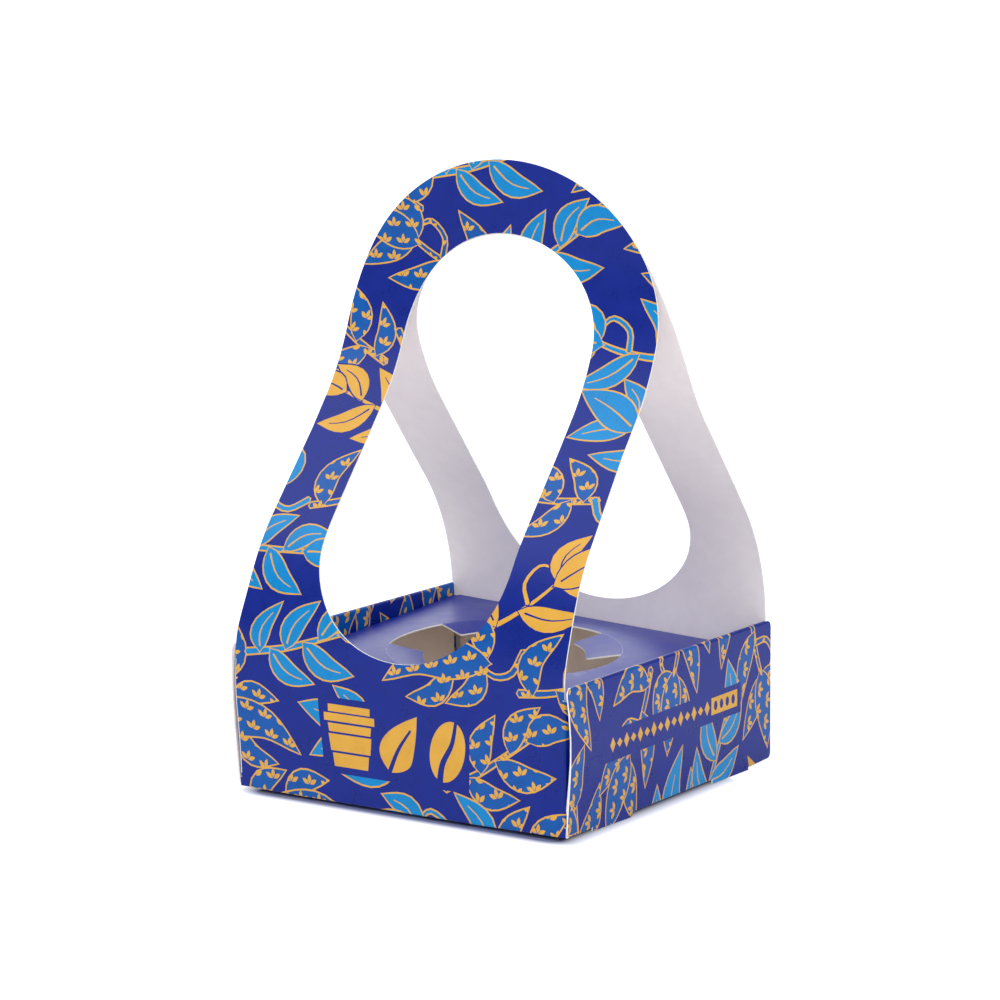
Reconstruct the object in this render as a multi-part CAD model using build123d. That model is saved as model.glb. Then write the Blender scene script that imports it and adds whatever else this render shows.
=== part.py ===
from build123d import *

import math
import os
from dataclasses import dataclass

# A carrier for one take-away cup, folded from two sheets of solid board.
# The carrier sheet is a tray whose front and rear walls run on upwards as two
# arched handles that meet at the top. The cup insert is a deck with a round
# cup hole and four holding flaps, and it stands inside the tray.
# Lengths are millimetres and angles are degrees. X runs across the tray from
# side wall to side wall, Y from the front to the rear, Z up. The origin is on
# the ground under the middle of the tray.

# The sheet
BOARD = 0.6
CREASE_RADIUS = 0.4
SLIT = 0.3

# The tray
WIDTH = 150.0
DEPTH = 146.0
WALL_HEIGHT = 55.0
WALL_CORNER_RADIUS = 2.5
TUCK_CLEARANCE = 0.15
LEAF_LIFT = 0.15
ROLL_CLEARANCE = 0.5

# The feet, cut out of the base and left standing below it
FOOT_DROP = 2.0
FOOT_LENGTH = 27.0
FOOT_SPACING = 85.0
SLOT_WIDTH = 3.0
TAB_CLEARANCE = 1.0

# The corner flaps of the front and rear walls, tucked between the wall leaves
CORNER_FLAP_LENGTH = 35.0
CORNER_FLAP_TAPER = 6.0
CORNER_FLAP_MARGIN = 3.0

# The handles, seen from the side
WALL_LEAN = 2.5
LEG_SLOPE = 38.4
LOWER_CURVE_RADIUS = 82.0
UPPER_CURVE_RADIUS = 95.0
MEETING_SHIFT = 1.5
MEETING_GAP = 0.3

# The handles, seen from the front: heights are above the underside of the base
FRONT_LEG_HALF = 70.5
FRONT_TAPER_HEIGHT = 133.0
FRONT_ARCH_CENTRE = 170.0
FRONT_ARCH_TOP = 237.0
FRONT_HOLE_HALF = 43.2
FRONT_HOLE_CENTRE = 167.0
FRONT_HOLE_TOP = 209.1
FRONT_HOLE_BOTTOM = 55.0
REAR_LEG_HALF = 75.3
REAR_TAPER_HEIGHT = 113.0
REAR_ARCH_CENTRE = 156.0
REAR_ARCH_TOP = 236.5
REAR_HOLE_HALF = 46.0
REAR_HOLE_CENTRE = 164.0
REAR_HOLE_TOP = 208.5
REAR_HOLE_BOTTOM = 56.3
HOLE_BEND_CENTRE = 96.0

# The cup insert
DECK_HEIGHT = 46.8
INSERT_CLEARANCE = 0.4
INSERT_LIFT = 0.1
CORNER_NOTCH = 2.4
CUP_HOLE_DIAMETER = 91.4
CUP_FLAP_LENGTH = 14.3
CUP_FLAP_ROOT_ANGLE = 43.0
CUP_FLAP_TIP_ANGLE = 43.0
CUP_FLAP_DROOP = 10.0

# What follows from the sizes above
OUTER_CREASE = CREASE_RADIUS + BOARD
LEAF_GAP = BOARD + 2 * TUCK_CLEARANCE
ROLL_RADIUS = BOARD + LEAF_GAP / 2
BASE_UNDERSIDE = FOOT_DROP
BASE_TOP = BASE_UNDERSIDE + BOARD
WALL_TOP = BASE_UNDERSIDE + WALL_HEIGHT
OUTER_LEAF_INSIDE = WIDTH / 2 - BOARD
INNER_LEAF_FACE = WIDTH / 2 - 2 * ROLL_RADIUS
PANEL_HALF = OUTER_LEAF_INSIDE - TUCK_CLEARANCE
LEAN = math.radians(WALL_LEAN)
SLOPE = math.radians(LEG_SLOPE)


@dataclass(frozen=True)
class Run:
    """A flat stretch of a folded strip."""

    length: float


@dataclass(frozen=True)
class Bend:
    """A bend of a folded strip: radius of the drawn face, angle to the left."""

    radius: float
    angle: float


def unit(heading: float) -> Vector:
    """Return the unit vector that points along a heading in degrees."""
    return Vector(math.cos(math.radians(heading)), math.sin(math.radians(heading)))


def folded_strip(start: Vector, heading: float, moves: list, thickness: float) -> Face:
    """Draw the section of a folded sheet from the course of one of its faces.

    The sheet lies to the left of the drawn face, or to its right where the
    thickness is negative.
    """
    drawn, other = [], []
    place = start
    for move in moves:
        offset = place + unit(heading + 90) * thickness
        if isinstance(move, Run):
            end = place + unit(heading) * move.length
            end_offset = end + unit(heading + 90) * thickness
            drawn.append(Line(place, end))
            other.append(Line(offset, end_offset))
        else:
            side = math.copysign(1, move.angle)
            centre = place + unit(heading + 90) * side * move.radius
            middle = centre - unit(heading + move.angle / 2 + 90) * side * move.radius
            end = centre - unit(heading + move.angle + 90) * side * move.radius
            heading += move.angle
            middle_offset = middle + unit(heading - move.angle / 2 + 90) * thickness
            end_offset = end + unit(heading + 90) * thickness
            drawn.append(ThreePointArc(place, middle, end))
            other.append(ThreePointArc(offset, middle_offset, end_offset))
        place = end
    first_cap = Line(start, other[0] @ 0)
    last_cap = Line(drawn[-1] @ 1, other[-1] @ 1)
    return make_face([*drawn, last_cap, *other, first_cap])


def slab(low: tuple, high: tuple) -> Part:
    """Return a box from its lowest corner to its highest."""
    size = [b - a for a, b in zip(low, high)]
    middle = [(a + b) / 2 for a, b in zip(low, high)]
    return Pos(*middle) * Box(*size)


def both_sides(part: Part) -> Part:
    """Return a part with its mirror image across the middle plane of the tray."""
    return part + mirror(part, about=Plane.YZ)


def panel_face(height: float) -> float:
    """Return how far out the printed face of a leaning wall is at a height."""
    rise = height - BASE_UNDERSIDE - OUTER_CREASE
    return DEPTH / 2 - OUTER_CREASE + OUTER_CREASE / math.cos(LEAN) - rise * math.tan(LEAN)


def side_wall_strip() -> Part:
    """Fold one half of the base and a side wall that rolls over to a second leaf."""
    inner_leaf = WALL_TOP - ROLL_RADIUS - BASE_TOP - LEAF_LIFT
    section = folded_strip(
        Vector(0, BASE_UNDERSIDE),
        0,
        [
            Run(WIDTH / 2 - OUTER_CREASE),
            Bend(OUTER_CREASE, 90),
            Run(WALL_HEIGHT - OUTER_CREASE - ROLL_RADIUS),
            Bend(ROLL_RADIUS, 180),
            Run(inner_leaf),
        ],
        BOARD,
    )
    strip = extrude(Plane.XZ * section, amount=DEPTH / 2, both=True)
    roll_end = panel_face(WALL_TOP) - BOARD / math.cos(LEAN) - ROLL_CLEARANCE
    for y_low, y_high in ((-DEPTH / 2, -roll_end), (roll_end, DEPTH / 2)):
        strip -= slab(
            (INNER_LEAF_FACE - BOARD, y_low, BASE_TOP + LEAF_LIFT / 2),
            (OUTER_LEAF_INSIDE, y_high, WALL_TOP),
        ) - slab(
            (OUTER_LEAF_INSIDE - CREASE_RADIUS, y_low, BASE_UNDERSIDE),
            (OUTER_LEAF_INSIDE, y_high, BASE_UNDERSIDE + OUTER_CREASE),
        )
    return strip


def wall_corner_cutters() -> Part:
    """Return what rounds the four corners of a side wall's outer leaf."""
    radius = WALL_CORNER_RADIUS
    low_x = OUTER_LEAF_INSIDE - CREASE_RADIUS
    block = slab((low_x, -DEPTH, BASE_UNDERSIDE - BOARD), (WIDTH, DEPTH, WALL_TOP + BOARD))
    outline = RectangleRounded(DEPTH, WALL_HEIGHT, radius)
    middle = Plane(origin=(0, 0, BASE_UNDERSIDE + WALL_HEIGHT / 2), x_dir=(0, 1, 0), z_dir=(1, 0, 0))
    return block - extrude(middle * outline, amount=WIDTH)


def with_feet(strip: Part) -> Part:
    """Cut the slots at the base crease and add the feet and the locking tabs."""
    for middle in (-FOOT_SPACING / 2, FOOT_SPACING / 2):
        slot_half = FOOT_LENGTH / 2 + SLIT
        strip -= slab(
            (WIDTH / 2 - SLOT_WIDTH, middle - slot_half, BASE_UNDERSIDE - BOARD),
            (WIDTH / 2 + BOARD, middle + slot_half, BASE_UNDERSIDE + OUTER_CREASE),
        )
        foot_half = FOOT_LENGTH / 2
        strip += slab(
            (OUTER_LEAF_INSIDE, middle - foot_half, BASE_UNDERSIDE - FOOT_DROP),
            (WIDTH / 2, middle + foot_half, BASE_UNDERSIDE + OUTER_CREASE + SLIT),
        )
        tab_half = foot_half - TAB_CLEARANCE
        strip += slab(
            (INNER_LEAF_FACE, middle - tab_half, BASE_UNDERSIDE),
            (INNER_LEAF_FACE + BOARD, middle + tab_half, BASE_UNDERSIDE + OUTER_CREASE + SLIT),
        )
    return strip


def panel_sheet(direction: int, meeting: float) -> Part:
    """Fold a strip of the base, a leaning wall and its curved handle.

    The direction is -1 for the front and 1 for the rear. The meeting value is
    how far out the inside of the handle is where it stands upright at the top.
    """
    end = meeting + BOARD
    wall_run = (WALL_HEIGHT - OUTER_CREASE - OUTER_CREASE * math.sin(LEAN)) / math.cos(LEAN)
    lower_reach = LOWER_CURVE_RADIUS * (math.cos(LEAN) - math.cos(SLOPE))
    upper_reach = UPPER_CURVE_RADIUS * (1 - math.cos(SLOPE))
    leg_run = (panel_face(WALL_TOP) - lower_reach - upper_reach - end) / math.sin(SLOPE)
    base_run = DEPTH / 4
    section = folded_strip(
        Vector(DEPTH / 2 - base_run, BASE_UNDERSIDE),
        0,
        [
            Run(base_run - OUTER_CREASE),
            Bend(OUTER_CREASE, 90 + WALL_LEAN),
            Run(wall_run),
            Bend(LOWER_CURVE_RADIUS, LEG_SLOPE - WALL_LEAN),
            Run(leg_run),
            Bend(UPPER_CURVE_RADIUS, -LEG_SLOPE),
            Run(WALL_HEIGHT),
        ],
        BOARD,
    )
    side_view = Plane(origin=(0, 0, 0), x_dir=(0, direction, 0), z_dir=(direction, 0, 0))
    return extrude(side_view * section, amount=WIDTH, both=True)


def panel_outline(
    leg_half: float,
    taper_height: float,
    arch_centre: float,
    arch_top: float,
    hole_half: float,
    hole_centre: float,
    hole_top: float,
    hole_bottom: float,
) -> Part:
    """Cut a wall and its handle to their outline, seen from the front."""
    wall_and_legs = Polygon(
        (-PANEL_HALF, 0),
        (PANEL_HALF, 0),
        (PANEL_HALF, WALL_HEIGHT),
        (leg_half, taper_height),
        (leg_half, arch_centre),
        (-leg_half, arch_centre),
        (-leg_half, taper_height),
        (-PANEL_HALF, WALL_HEIGHT),
        align=None,
    )
    arch = Pos(0, arch_centre) * Ellipse(leg_half, arch_top - arch_centre)
    hole_middle = (hole_centre + HOLE_BEND_CENTRE) / 2
    hole = (
        Pos(0, hole_centre) * Ellipse(hole_half, hole_top - hole_centre)
        + Pos(0, hole_middle) * Rectangle(2 * hole_half, hole_centre - HOLE_BEND_CENTRE)
        + Pos(0, HOLE_BEND_CENTRE) * Ellipse(hole_half, HOLE_BEND_CENTRE - hole_bottom)
    )
    outline = Pos(0, BASE_UNDERSIDE) * (wall_and_legs + arch - hole)
    return extrude(Plane.XZ * outline, amount=DEPTH, both=True)


def corner_flap(direction: int) -> Part:
    """Return the flap at the right edge of the front (-1) or rear (1) wall."""
    low = BASE_UNDERSIDE + OUTER_CREASE + CORNER_FLAP_MARGIN
    high = WALL_TOP - 2 * ROLL_RADIUS - CORNER_FLAP_MARGIN
    hinge_low = panel_face(low) - BOARD / 2
    hinge_high = panel_face(high) - BOARD / 2
    tip = hinge_high - CORNER_FLAP_LENGTH
    outline = Polygon(
        (hinge_low, low),
        (hinge_high, high),
        (tip, high - CORNER_FLAP_TAPER),
        (tip, low + CORNER_FLAP_TAPER),
        align=None,
    )
    side_view = Plane(origin=(PANEL_HALF, 0, 0), x_dir=(0, direction, 0), z_dir=(direction, 0, 0))
    return extrude(side_view * outline, amount=-direction * BOARD)


def carrier_sheet() -> Part:
    """Build the printed sheet: tray, rolled side walls, feet and both handles."""
    right = with_feet(side_wall_strip() - wall_corner_cutters())
    sheet = both_sides(right)
    front_inside = MEETING_GAP / 2 - MEETING_SHIFT
    sheet += panel_sheet(-1, front_inside) & panel_outline(
        FRONT_LEG_HALF,
        FRONT_TAPER_HEIGHT,
        FRONT_ARCH_CENTRE,
        FRONT_ARCH_TOP,
        FRONT_HOLE_HALF,
        FRONT_HOLE_CENTRE,
        FRONT_HOLE_TOP,
        FRONT_HOLE_BOTTOM,
    )
    rear_inside = MEETING_GAP / 2 + MEETING_SHIFT
    sheet += panel_sheet(1, rear_inside) & panel_outline(
        REAR_LEG_HALF,
        REAR_TAPER_HEIGHT,
        REAR_ARCH_CENTRE,
        REAR_ARCH_TOP,
        REAR_HOLE_HALF,
        REAR_HOLE_CENTRE,
        REAR_HOLE_TOP,
        REAR_HOLE_BOTTOM,
    )
    sheet += both_sides(corner_flap(-1))
    sheet += both_sides(corner_flap(1))
    return sheet


def cup_flap(angle: float, radius: float, height: float) -> Part:
    """Return one flap of the cup hole, bent down along its curved crease."""
    droop = math.radians(CUP_FLAP_DROOP)
    tip_radius = radius - CUP_FLAP_LENGTH * math.cos(droop)
    tip_height = height - CUP_FLAP_LENGTH * math.sin(droop)
    section = Polygon(
        (radius, height),
        (radius, height - BOARD),
        (tip_radius, tip_height - BOARD),
        (tip_radius, tip_height),
        align=None,
    )
    ring = revolve(Plane.XZ * section, axis=Axis.Z)
    root = unit(CUP_FLAP_ROOT_ANGLE / 2) * radius
    tip = unit(CUP_FLAP_TIP_ANGLE / 2) * tip_radius
    wedge = Polygon(
        (tip.X / 2, -tip.Y),
        (tip.X, -tip.Y),
        (root.X, -root.Y),
        (radius, -root.Y),
        (radius, root.Y),
        (root.X, root.Y),
        (tip.X, tip.Y),
        (tip.X / 2, tip.Y),
        align=None,
    )
    return Rot(0, 0, angle) * (ring & extrude(wedge, amount=WALL_TOP))


def cup_insert() -> Part:
    """Build the insert: a deck on four flanges, with the cup hole and its flaps."""
    half_x = INNER_LEAF_FACE - INSERT_CLEARANCE
    deck_top = BASE_UNDERSIDE + DECK_HEIGHT
    half_y = panel_face(deck_top) - BOARD / math.cos(LEAN) - INSERT_CLEARANCE
    flange_run = deck_top - OUTER_CREASE - BASE_TOP - INSERT_LIFT
    insert = Part()
    for half, other_half, view, across in (
        (half_x, half_y, Plane.XZ, Plane.YZ),
        (half_y, half_x, Plane.YZ, Plane.XZ),
    ):
        section = folded_strip(
            Vector(0, deck_top),
            0,
            [Run(half - OUTER_CREASE), Bend(OUTER_CREASE, -90), Run(flange_run)],
            -BOARD,
        )
        band = extrude(view * section, amount=other_half - CORNER_NOTCH, both=True)
        insert += band + mirror(band, about=across)
    radius = CUP_HOLE_DIAMETER / 2
    insert -= Pos(0, 0, deck_top) * Cylinder(radius, 4 * BOARD)
    for angle in (45, 135, 225, 315):
        insert += cup_flap(angle, radius, deck_top)
    return insert


def main() -> None:
    """Write each piece to its own file."""
    os.makedirs("parts", exist_ok=True)
    pieces = {
        "carrier_sheet": carrier_sheet(),
        "cup_insert": cup_insert(),
    }
    for name, piece in pieces.items():
        print(name, "solids", len(piece.solids()), "volume", round(piece.volume, 1))
        export_step(piece, f"parts/{name}.step")


if __name__ == "__main__":
    main()
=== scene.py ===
import logging
import math
from collections.abc import Callable
from dataclasses import dataclass, field
from enum import Enum, IntEnum

import bpy
import numpy as np
from mathutils import Matrix, Vector
from mathutils.geometry import delaunay_2d_cdt


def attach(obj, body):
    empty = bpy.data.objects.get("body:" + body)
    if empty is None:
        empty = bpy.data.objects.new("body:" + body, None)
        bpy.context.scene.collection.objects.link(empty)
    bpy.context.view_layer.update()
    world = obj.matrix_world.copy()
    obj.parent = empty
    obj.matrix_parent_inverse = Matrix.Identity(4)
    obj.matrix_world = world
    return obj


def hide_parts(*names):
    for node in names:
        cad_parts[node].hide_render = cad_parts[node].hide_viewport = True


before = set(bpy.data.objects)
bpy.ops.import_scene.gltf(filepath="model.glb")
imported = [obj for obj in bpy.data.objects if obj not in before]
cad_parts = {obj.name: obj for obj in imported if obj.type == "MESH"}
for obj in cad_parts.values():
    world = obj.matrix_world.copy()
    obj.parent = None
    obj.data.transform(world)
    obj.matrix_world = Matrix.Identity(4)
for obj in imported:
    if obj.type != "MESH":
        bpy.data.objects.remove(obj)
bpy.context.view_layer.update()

# The looks of a folded board carrier for one take-away cup. Both sheets are drawn flat, as the
# die cutter leaves them, with their print on them, and are then folded into place.
# Lengths in the classes are millimetres and angles are degrees, unless a name says otherwise.
# The carrier's blank is drawn as it lies with its print face down: X across, Y from the front
# handle to the rear one, the base in the middle.

MM = 0.001
LOG = logging.getLogger("cup_carrier")
Point = tuple[float, float]
Triple = tuple[float, float, float]

# How finely a strip is searched for a height, and how far: past the wall's top or the arch's
SEARCH_STEP = 0.05
WALL_SEARCH = 80.0
HANDLE_SEARCH = 330.0
# The triangulation keeps what lies inside an outline, and joins points this close
KEEP_INSIDE = 1
JOIN_WITHIN = 1e-4


# Colours and nodes


def to_linear(colour: str) -> tuple[float, float, float, float]:
    """Turn an sRGB hex colour into a linear one.

    Args:
        colour: Six hex digits after a hash sign.

    Returns:
        Red, green, blue and alpha for a socket.
    """
    parts = [int(colour[k : k + 2], 16) / 255 for k in (1, 3, 5)]
    light = [c / 12.92 if c <= 0.04045 else ((c + 0.055) / 1.055) ** 2.4 for c in parts]
    return (*light, 1.0)


def add_node(
    tree: bpy.types.NodeTree,
    kind: str,
    settings: dict | None = None,
    inputs: dict | None = None,
) -> bpy.types.Node:
    """Add a node with its settings and links.

    Args:
        tree: The node tree that gets the node.
        kind: Blender's name for the kind of node.
        settings: Attributes to set on the node.
        inputs: Socket name or number to a value, or to the output that feeds it.

    Returns:
        The new node.
    """
    node = tree.nodes.new(kind)
    for name, value in (settings or {}).items():
        setattr(node, name, value)
    for socket, value in (inputs or {}).items():
        if isinstance(value, bpy.types.NodeSocket):
            tree.links.new(value, node.inputs[socket])
        else:
            node.inputs[socket].default_value = value
    return node


def empty_material(name: str) -> bpy.types.Material:
    """Make a material with an empty node tree.

    Args:
        name: The finish that it stands for.

    Returns:
        The material.
    """
    material = bpy.data.materials.new(name)
    material.use_nodes = True
    material.node_tree.nodes.clear()
    return material


# Finishes


class Ink(IntEnum):
    """What a patch of a sheet shows, in the order of the material slots."""

    INDIGO = 0
    SKY = 1
    ROYAL = 2
    GOLD = 3
    SCUFF = 4
    RAW_EDGE = 5
    BACK = 6


@dataclass(frozen=True)
class OffsetPrint:
    """Offset ink under a satin water-based varnish, on solid bleached board.

    The ink is even but not dead flat: it clouds a little over a few millimetres, the board's
    fibres show through as a fine grain, and the varnish gives a soft, broad sheen.
    """

    name: str
    thin_ink: str
    full_ink: str
    cloud: float = 9.0
    grain: float = 0.45
    grain_height: float = 0.006
    roughness: float = 0.3
    # The varnish sinks into the coating, so it mirrors less than a bare resin film at 1.5
    ior: float = 1.34

    def build(self) -> bpy.types.Material:
        """Return the printed board's material.

        Returns:
            The material, which takes its pattern from the place on the object.
        """
        material = empty_material(self.name)
        tree = material.node_tree
        place = add_node(tree, "ShaderNodeTexCoord").outputs["Object"]
        cloud = add_node(
            tree,
            "ShaderNodeTexNoise",
            {"noise_dimensions": "3D"},
            {"Vector": place, "Scale": 1 / (self.cloud * MM), "Detail": 3.0, "Roughness": 0.6},
        )
        # Board fibres are about 0.02 mm wide and can't show, so the grain is drawn coarser.
        grain = add_node(
            tree,
            "ShaderNodeTexNoise",
            {"noise_dimensions": "3D"},
            {"Vector": place, "Scale": 1 / (self.grain * MM), "Detail": 2.0, "Roughness": 0.7},
        )
        both = add_node(
            tree,
            "ShaderNodeMath",
            {"operation": "MULTIPLY_ADD"},
            {0: grain.outputs[0], 1: 0.35, 2: cloud.outputs[0]},
        )
        shade = add_node(
            tree,
            "ShaderNodeMapRange",
            {"interpolation_type": "SMOOTHSTEP"},
            {"Value": both.outputs[0], "From Min": 0.5, "From Max": 0.85},
        )
        ink = add_node(
            tree,
            "ShaderNodeMix",
            {"data_type": "RGBA"},
            {0: shade.outputs[0], 6: to_linear(self.full_ink), 7: to_linear(self.thin_ink)},
        )
        gloss = add_node(
            tree,
            "ShaderNodeMapRange",
            {},
            {
                "Value": both.outputs[0],
                "From Min": 0.4,
                "From Max": 0.95,
                "To Min": self.roughness - 0.05,
                "To Max": self.roughness + 0.05,
            },
        )
        bump = add_node(
            tree,
            "ShaderNodeBump",
            {},
            {"Height": grain.outputs[0], "Strength": 0.5, "Distance": self.grain_height * MM},
        )
        surface = add_node(
            tree,
            "ShaderNodeBsdfPrincipled",
            {},
            {
                "Base Color": ink.outputs[2],
                "Roughness": gloss.outputs[0],
                "Normal": bump.outputs[0],
                "IOR": self.ior,
            },
        )
        add_node(tree, "ShaderNodeOutputMaterial", {}, {"Surface": surface.outputs[0]})
        return material


@dataclass(frozen=True)
class BareBoard:
    """Board with no ink: the uncoated back of a sheet, or its raw cut edge.

    Matt, with the cloudy look of wet-laid fibre, and on a cut edge rougher and paler where the
    knife has torn the plies.
    """

    name: str
    pale: str
    dark: str
    cloud: float
    fibre: float
    fibre_height: float
    roughness: float = 0.8
    ior: float = 1.48

    def build(self) -> bpy.types.Material:
        """Return the bare board's material.

        Returns:
            The material, which takes its pattern from the place on the object.
        """
        material = empty_material(self.name)
        tree = material.node_tree
        place = add_node(tree, "ShaderNodeTexCoord").outputs["Object"]
        cloud = add_node(
            tree,
            "ShaderNodeTexNoise",
            {"noise_dimensions": "3D"},
            {"Vector": place, "Scale": 1 / (self.cloud * MM), "Detail": 4.0, "Roughness": 0.65},
        )
        fibre = add_node(
            tree,
            "ShaderNodeTexNoise",
            {"noise_dimensions": "3D"},
            {"Vector": place, "Scale": 1 / (self.fibre * MM), "Detail": 2.0, "Distortion": 0.6},
        )
        both = add_node(
            tree,
            "ShaderNodeMath",
            {"operation": "MULTIPLY_ADD"},
            {0: fibre.outputs[0], 1: 0.4, 2: cloud.outputs[0]},
        )
        shade = add_node(
            tree,
            "ShaderNodeMapRange",
            {"interpolation_type": "SMOOTHSTEP"},
            {"Value": both.outputs[0], "From Min": 0.45, "From Max": 0.95},
        )
        colour = add_node(
            tree,
            "ShaderNodeMix",
            {"data_type": "RGBA"},
            {0: shade.outputs[0], 6: to_linear(self.dark), 7: to_linear(self.pale)},
        )
        bump = add_node(
            tree,
            "ShaderNodeBump",
            {},
            {"Height": fibre.outputs[0], "Strength": 0.7, "Distance": self.fibre_height * MM},
        )
        surface = add_node(
            tree,
            "ShaderNodeBsdfPrincipled",
            {},
            {
                "Base Color": colour.outputs[2],
                "Roughness": self.roughness,
                "Normal": bump.outputs[0],
                "IOR": self.ior,
            },
        )
        add_node(tree, "ShaderNodeOutputMaterial", {}, {"Surface": surface.outputs[0]})
        return material


@dataclass(frozen=True)
class CarrierFinishes:
    """The finishes of the printed sheet and of the insert, by what each patch shows."""

    indigo: OffsetPrint = OffsetPrint("offset_indigo_print", "#06248C", "#042183")
    sky: OffsetPrint = OffsetPrint("offset_sky_blue_print", "#008ACF", "#0083C6")
    royal: OffsetPrint = OffsetPrint("offset_royal_blue_print", "#0458AC", "#0351A2")
    gold: OffsetPrint = OffsetPrint("offset_gold_print", "#E2AC45", "#DBA53F")
    # The insert's face is indigo print, painted a little lighter and bluer than the sheet's indigo: partly
    # its own ink, partly painted light on the upward-facing deck
    insert_face_with_painted_light: OffsetPrint = OffsetPrint("offset_indigo_on_insert_with_painted_light", "#0A2494", "#08218A", roughness=0.36)
    scuff: OffsetPrint = OffsetPrint("ink_worn_along_crease", "#8486C4", "#12218A", 2.2, roughness=0.4)
    edge: BareBoard = BareBoard("raw_cut_board_edge", "#FCFBFB", "#F1EFF0", 2.5, 0.25, 0.02, 0.9)
    back: BareBoard = BareBoard("uncoated_board_back", "#FAF3F3", "#F5EEEE", 6.0, 0.5, 0.012, 0.75)
    insert_back: BareBoard = BareBoard("grey_lined_insert_back", "#FAEFE4", "#F5E8DC", 5.0, 0.5, 0.012, 0.8)

    def for_sheet(self) -> list[bpy.types.Material]:
        """Return the printed sheet's materials in slot order."""
        inks = (self.indigo, self.sky, self.royal, self.gold, self.scuff, self.edge, self.back)
        return [finish.build() for finish in inks]

    def for_insert(self, shared: list[bpy.types.Material]) -> list[bpy.types.Material]:
        """Return the insert's materials in slot order.

        Args:
            shared: The printed sheet's materials, for what both sheets have.

        Returns:
            One material for each slot.
        """
        materials = list(shared)
        materials[Ink.INDIGO] = self.insert_face_with_painted_light.build()
        materials[Ink.BACK] = self.insert_back.build()
        return materials


# Folded strips


@dataclass(frozen=True)
class Fold:
    """A stretch of a folded strip, measured on its printed face; it turns towards the board."""

    length: float
    turn: float = 0.0


def bend(radius: float, turn: float) -> Fold:
    """Return a stretch that turns on a radius of the printed face."""
    return Fold(radius * abs(math.radians(turn)), turn)


@dataclass(frozen=True)
class FoldedStrip:
    """The side view of a folded strip: how far out and how high each point of it lies."""

    out: float
    height: float
    folds: tuple[Fold, ...]

    def starts(self) -> list[float]:
        """Measure where the stretches start.

        Returns:
            The start of each stretch along the strip, and the end of the last one.
        """
        ends = [0.0]
        for fold in self.folds:
            ends.append(ends[-1] + fold.length)
        return ends

    def place(self, along: np.ndarray) -> tuple[np.ndarray, np.ndarray, np.ndarray]:
        """Find points of the printed face.

        Args:
            along: Distances along the strip.

        Returns:
            How far out they are, how high, and the strip's heading there in radians.
        """
        outs, heights, headings = (np.zeros(len(along)) for _ in range(3))
        out, height, heading = self.out, self.height, 0.0
        starts = self.starts()
        for k, fold in enumerate(self.folds):
            first, last = k == 0, k == len(self.folds) - 1
            here = (along >= starts[k] if not first else along > -math.inf) & (
                along < starts[k + 1] if not last else along < math.inf
            )
            t = along[here] - starts[k]
            if fold.turn:
                rate = math.radians(fold.turn) / fold.length
                bounded = np.clip(t, 0.0, fold.length)
                angle = heading + rate * bounded
                beyond = t - bounded
                outs[here] = out + (np.sin(angle) - math.sin(heading)) / rate + beyond * np.cos(angle)
                heights[here] = height - (np.cos(angle) - math.cos(heading)) / rate + beyond * np.sin(angle)
                headings[here] = angle
                end = heading + math.radians(fold.turn)
                out += (math.sin(end) - math.sin(heading)) / rate
                height -= (math.cos(end) - math.cos(heading)) / rate
                heading = end
            else:
                outs[here] = out + t * math.cos(heading)
                heights[here] = height + t * math.sin(heading)
                headings[here] = heading
                out += fold.length * math.cos(heading)
                height += fold.length * math.sin(heading)
        return outs, heights, headings

    def along_at(self, heights: np.ndarray, search: float) -> np.ndarray:
        """Find how far along the strip given heights lie.

        Args:
            heights: Heights to find.
            search: How far along the strip to look.

        Returns:
            Distances along the strip.
        """
        stations = np.arange(0, search, SEARCH_STEP)
        return np.interp(heights, self.place(stations)[1], stations)


def divided(marks: list[float], counts: tuple[int, ...]) -> list[float]:
    """Divide the stretches between marks into equal parts.

    Args:
        marks: Where the stretches start, and where the last one ends.
        counts: How many parts each stretch gets.

    Returns:
        Where each part starts.
    """
    found = []
    for first, last, count in zip(marks, marks[1:], counts):
        found += list(np.linspace(first, last, count + 1)[:-1])
    return found


# Flat sheets


@dataclass(frozen=True)
class Patch:
    """A printed shape on a flat sheet; each covers those before it.

    A spot prints only on the fill that has its own number.
    """

    points: np.ndarray
    ink: Ink
    number: int = 0
    spot: bool = False


def turned_left(points: np.ndarray) -> np.ndarray:
    """Put a closed outline's points in anticlockwise order.

    Args:
        points: The outline, in either order.

    Returns:
        The same points, anticlockwise.
    """
    x, y = points[:, 0], points[:, 1]
    area = np.sum(x * np.roll(y, -1) - np.roll(x, -1) * y)
    return points if area > 0 else points[::-1]


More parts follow.
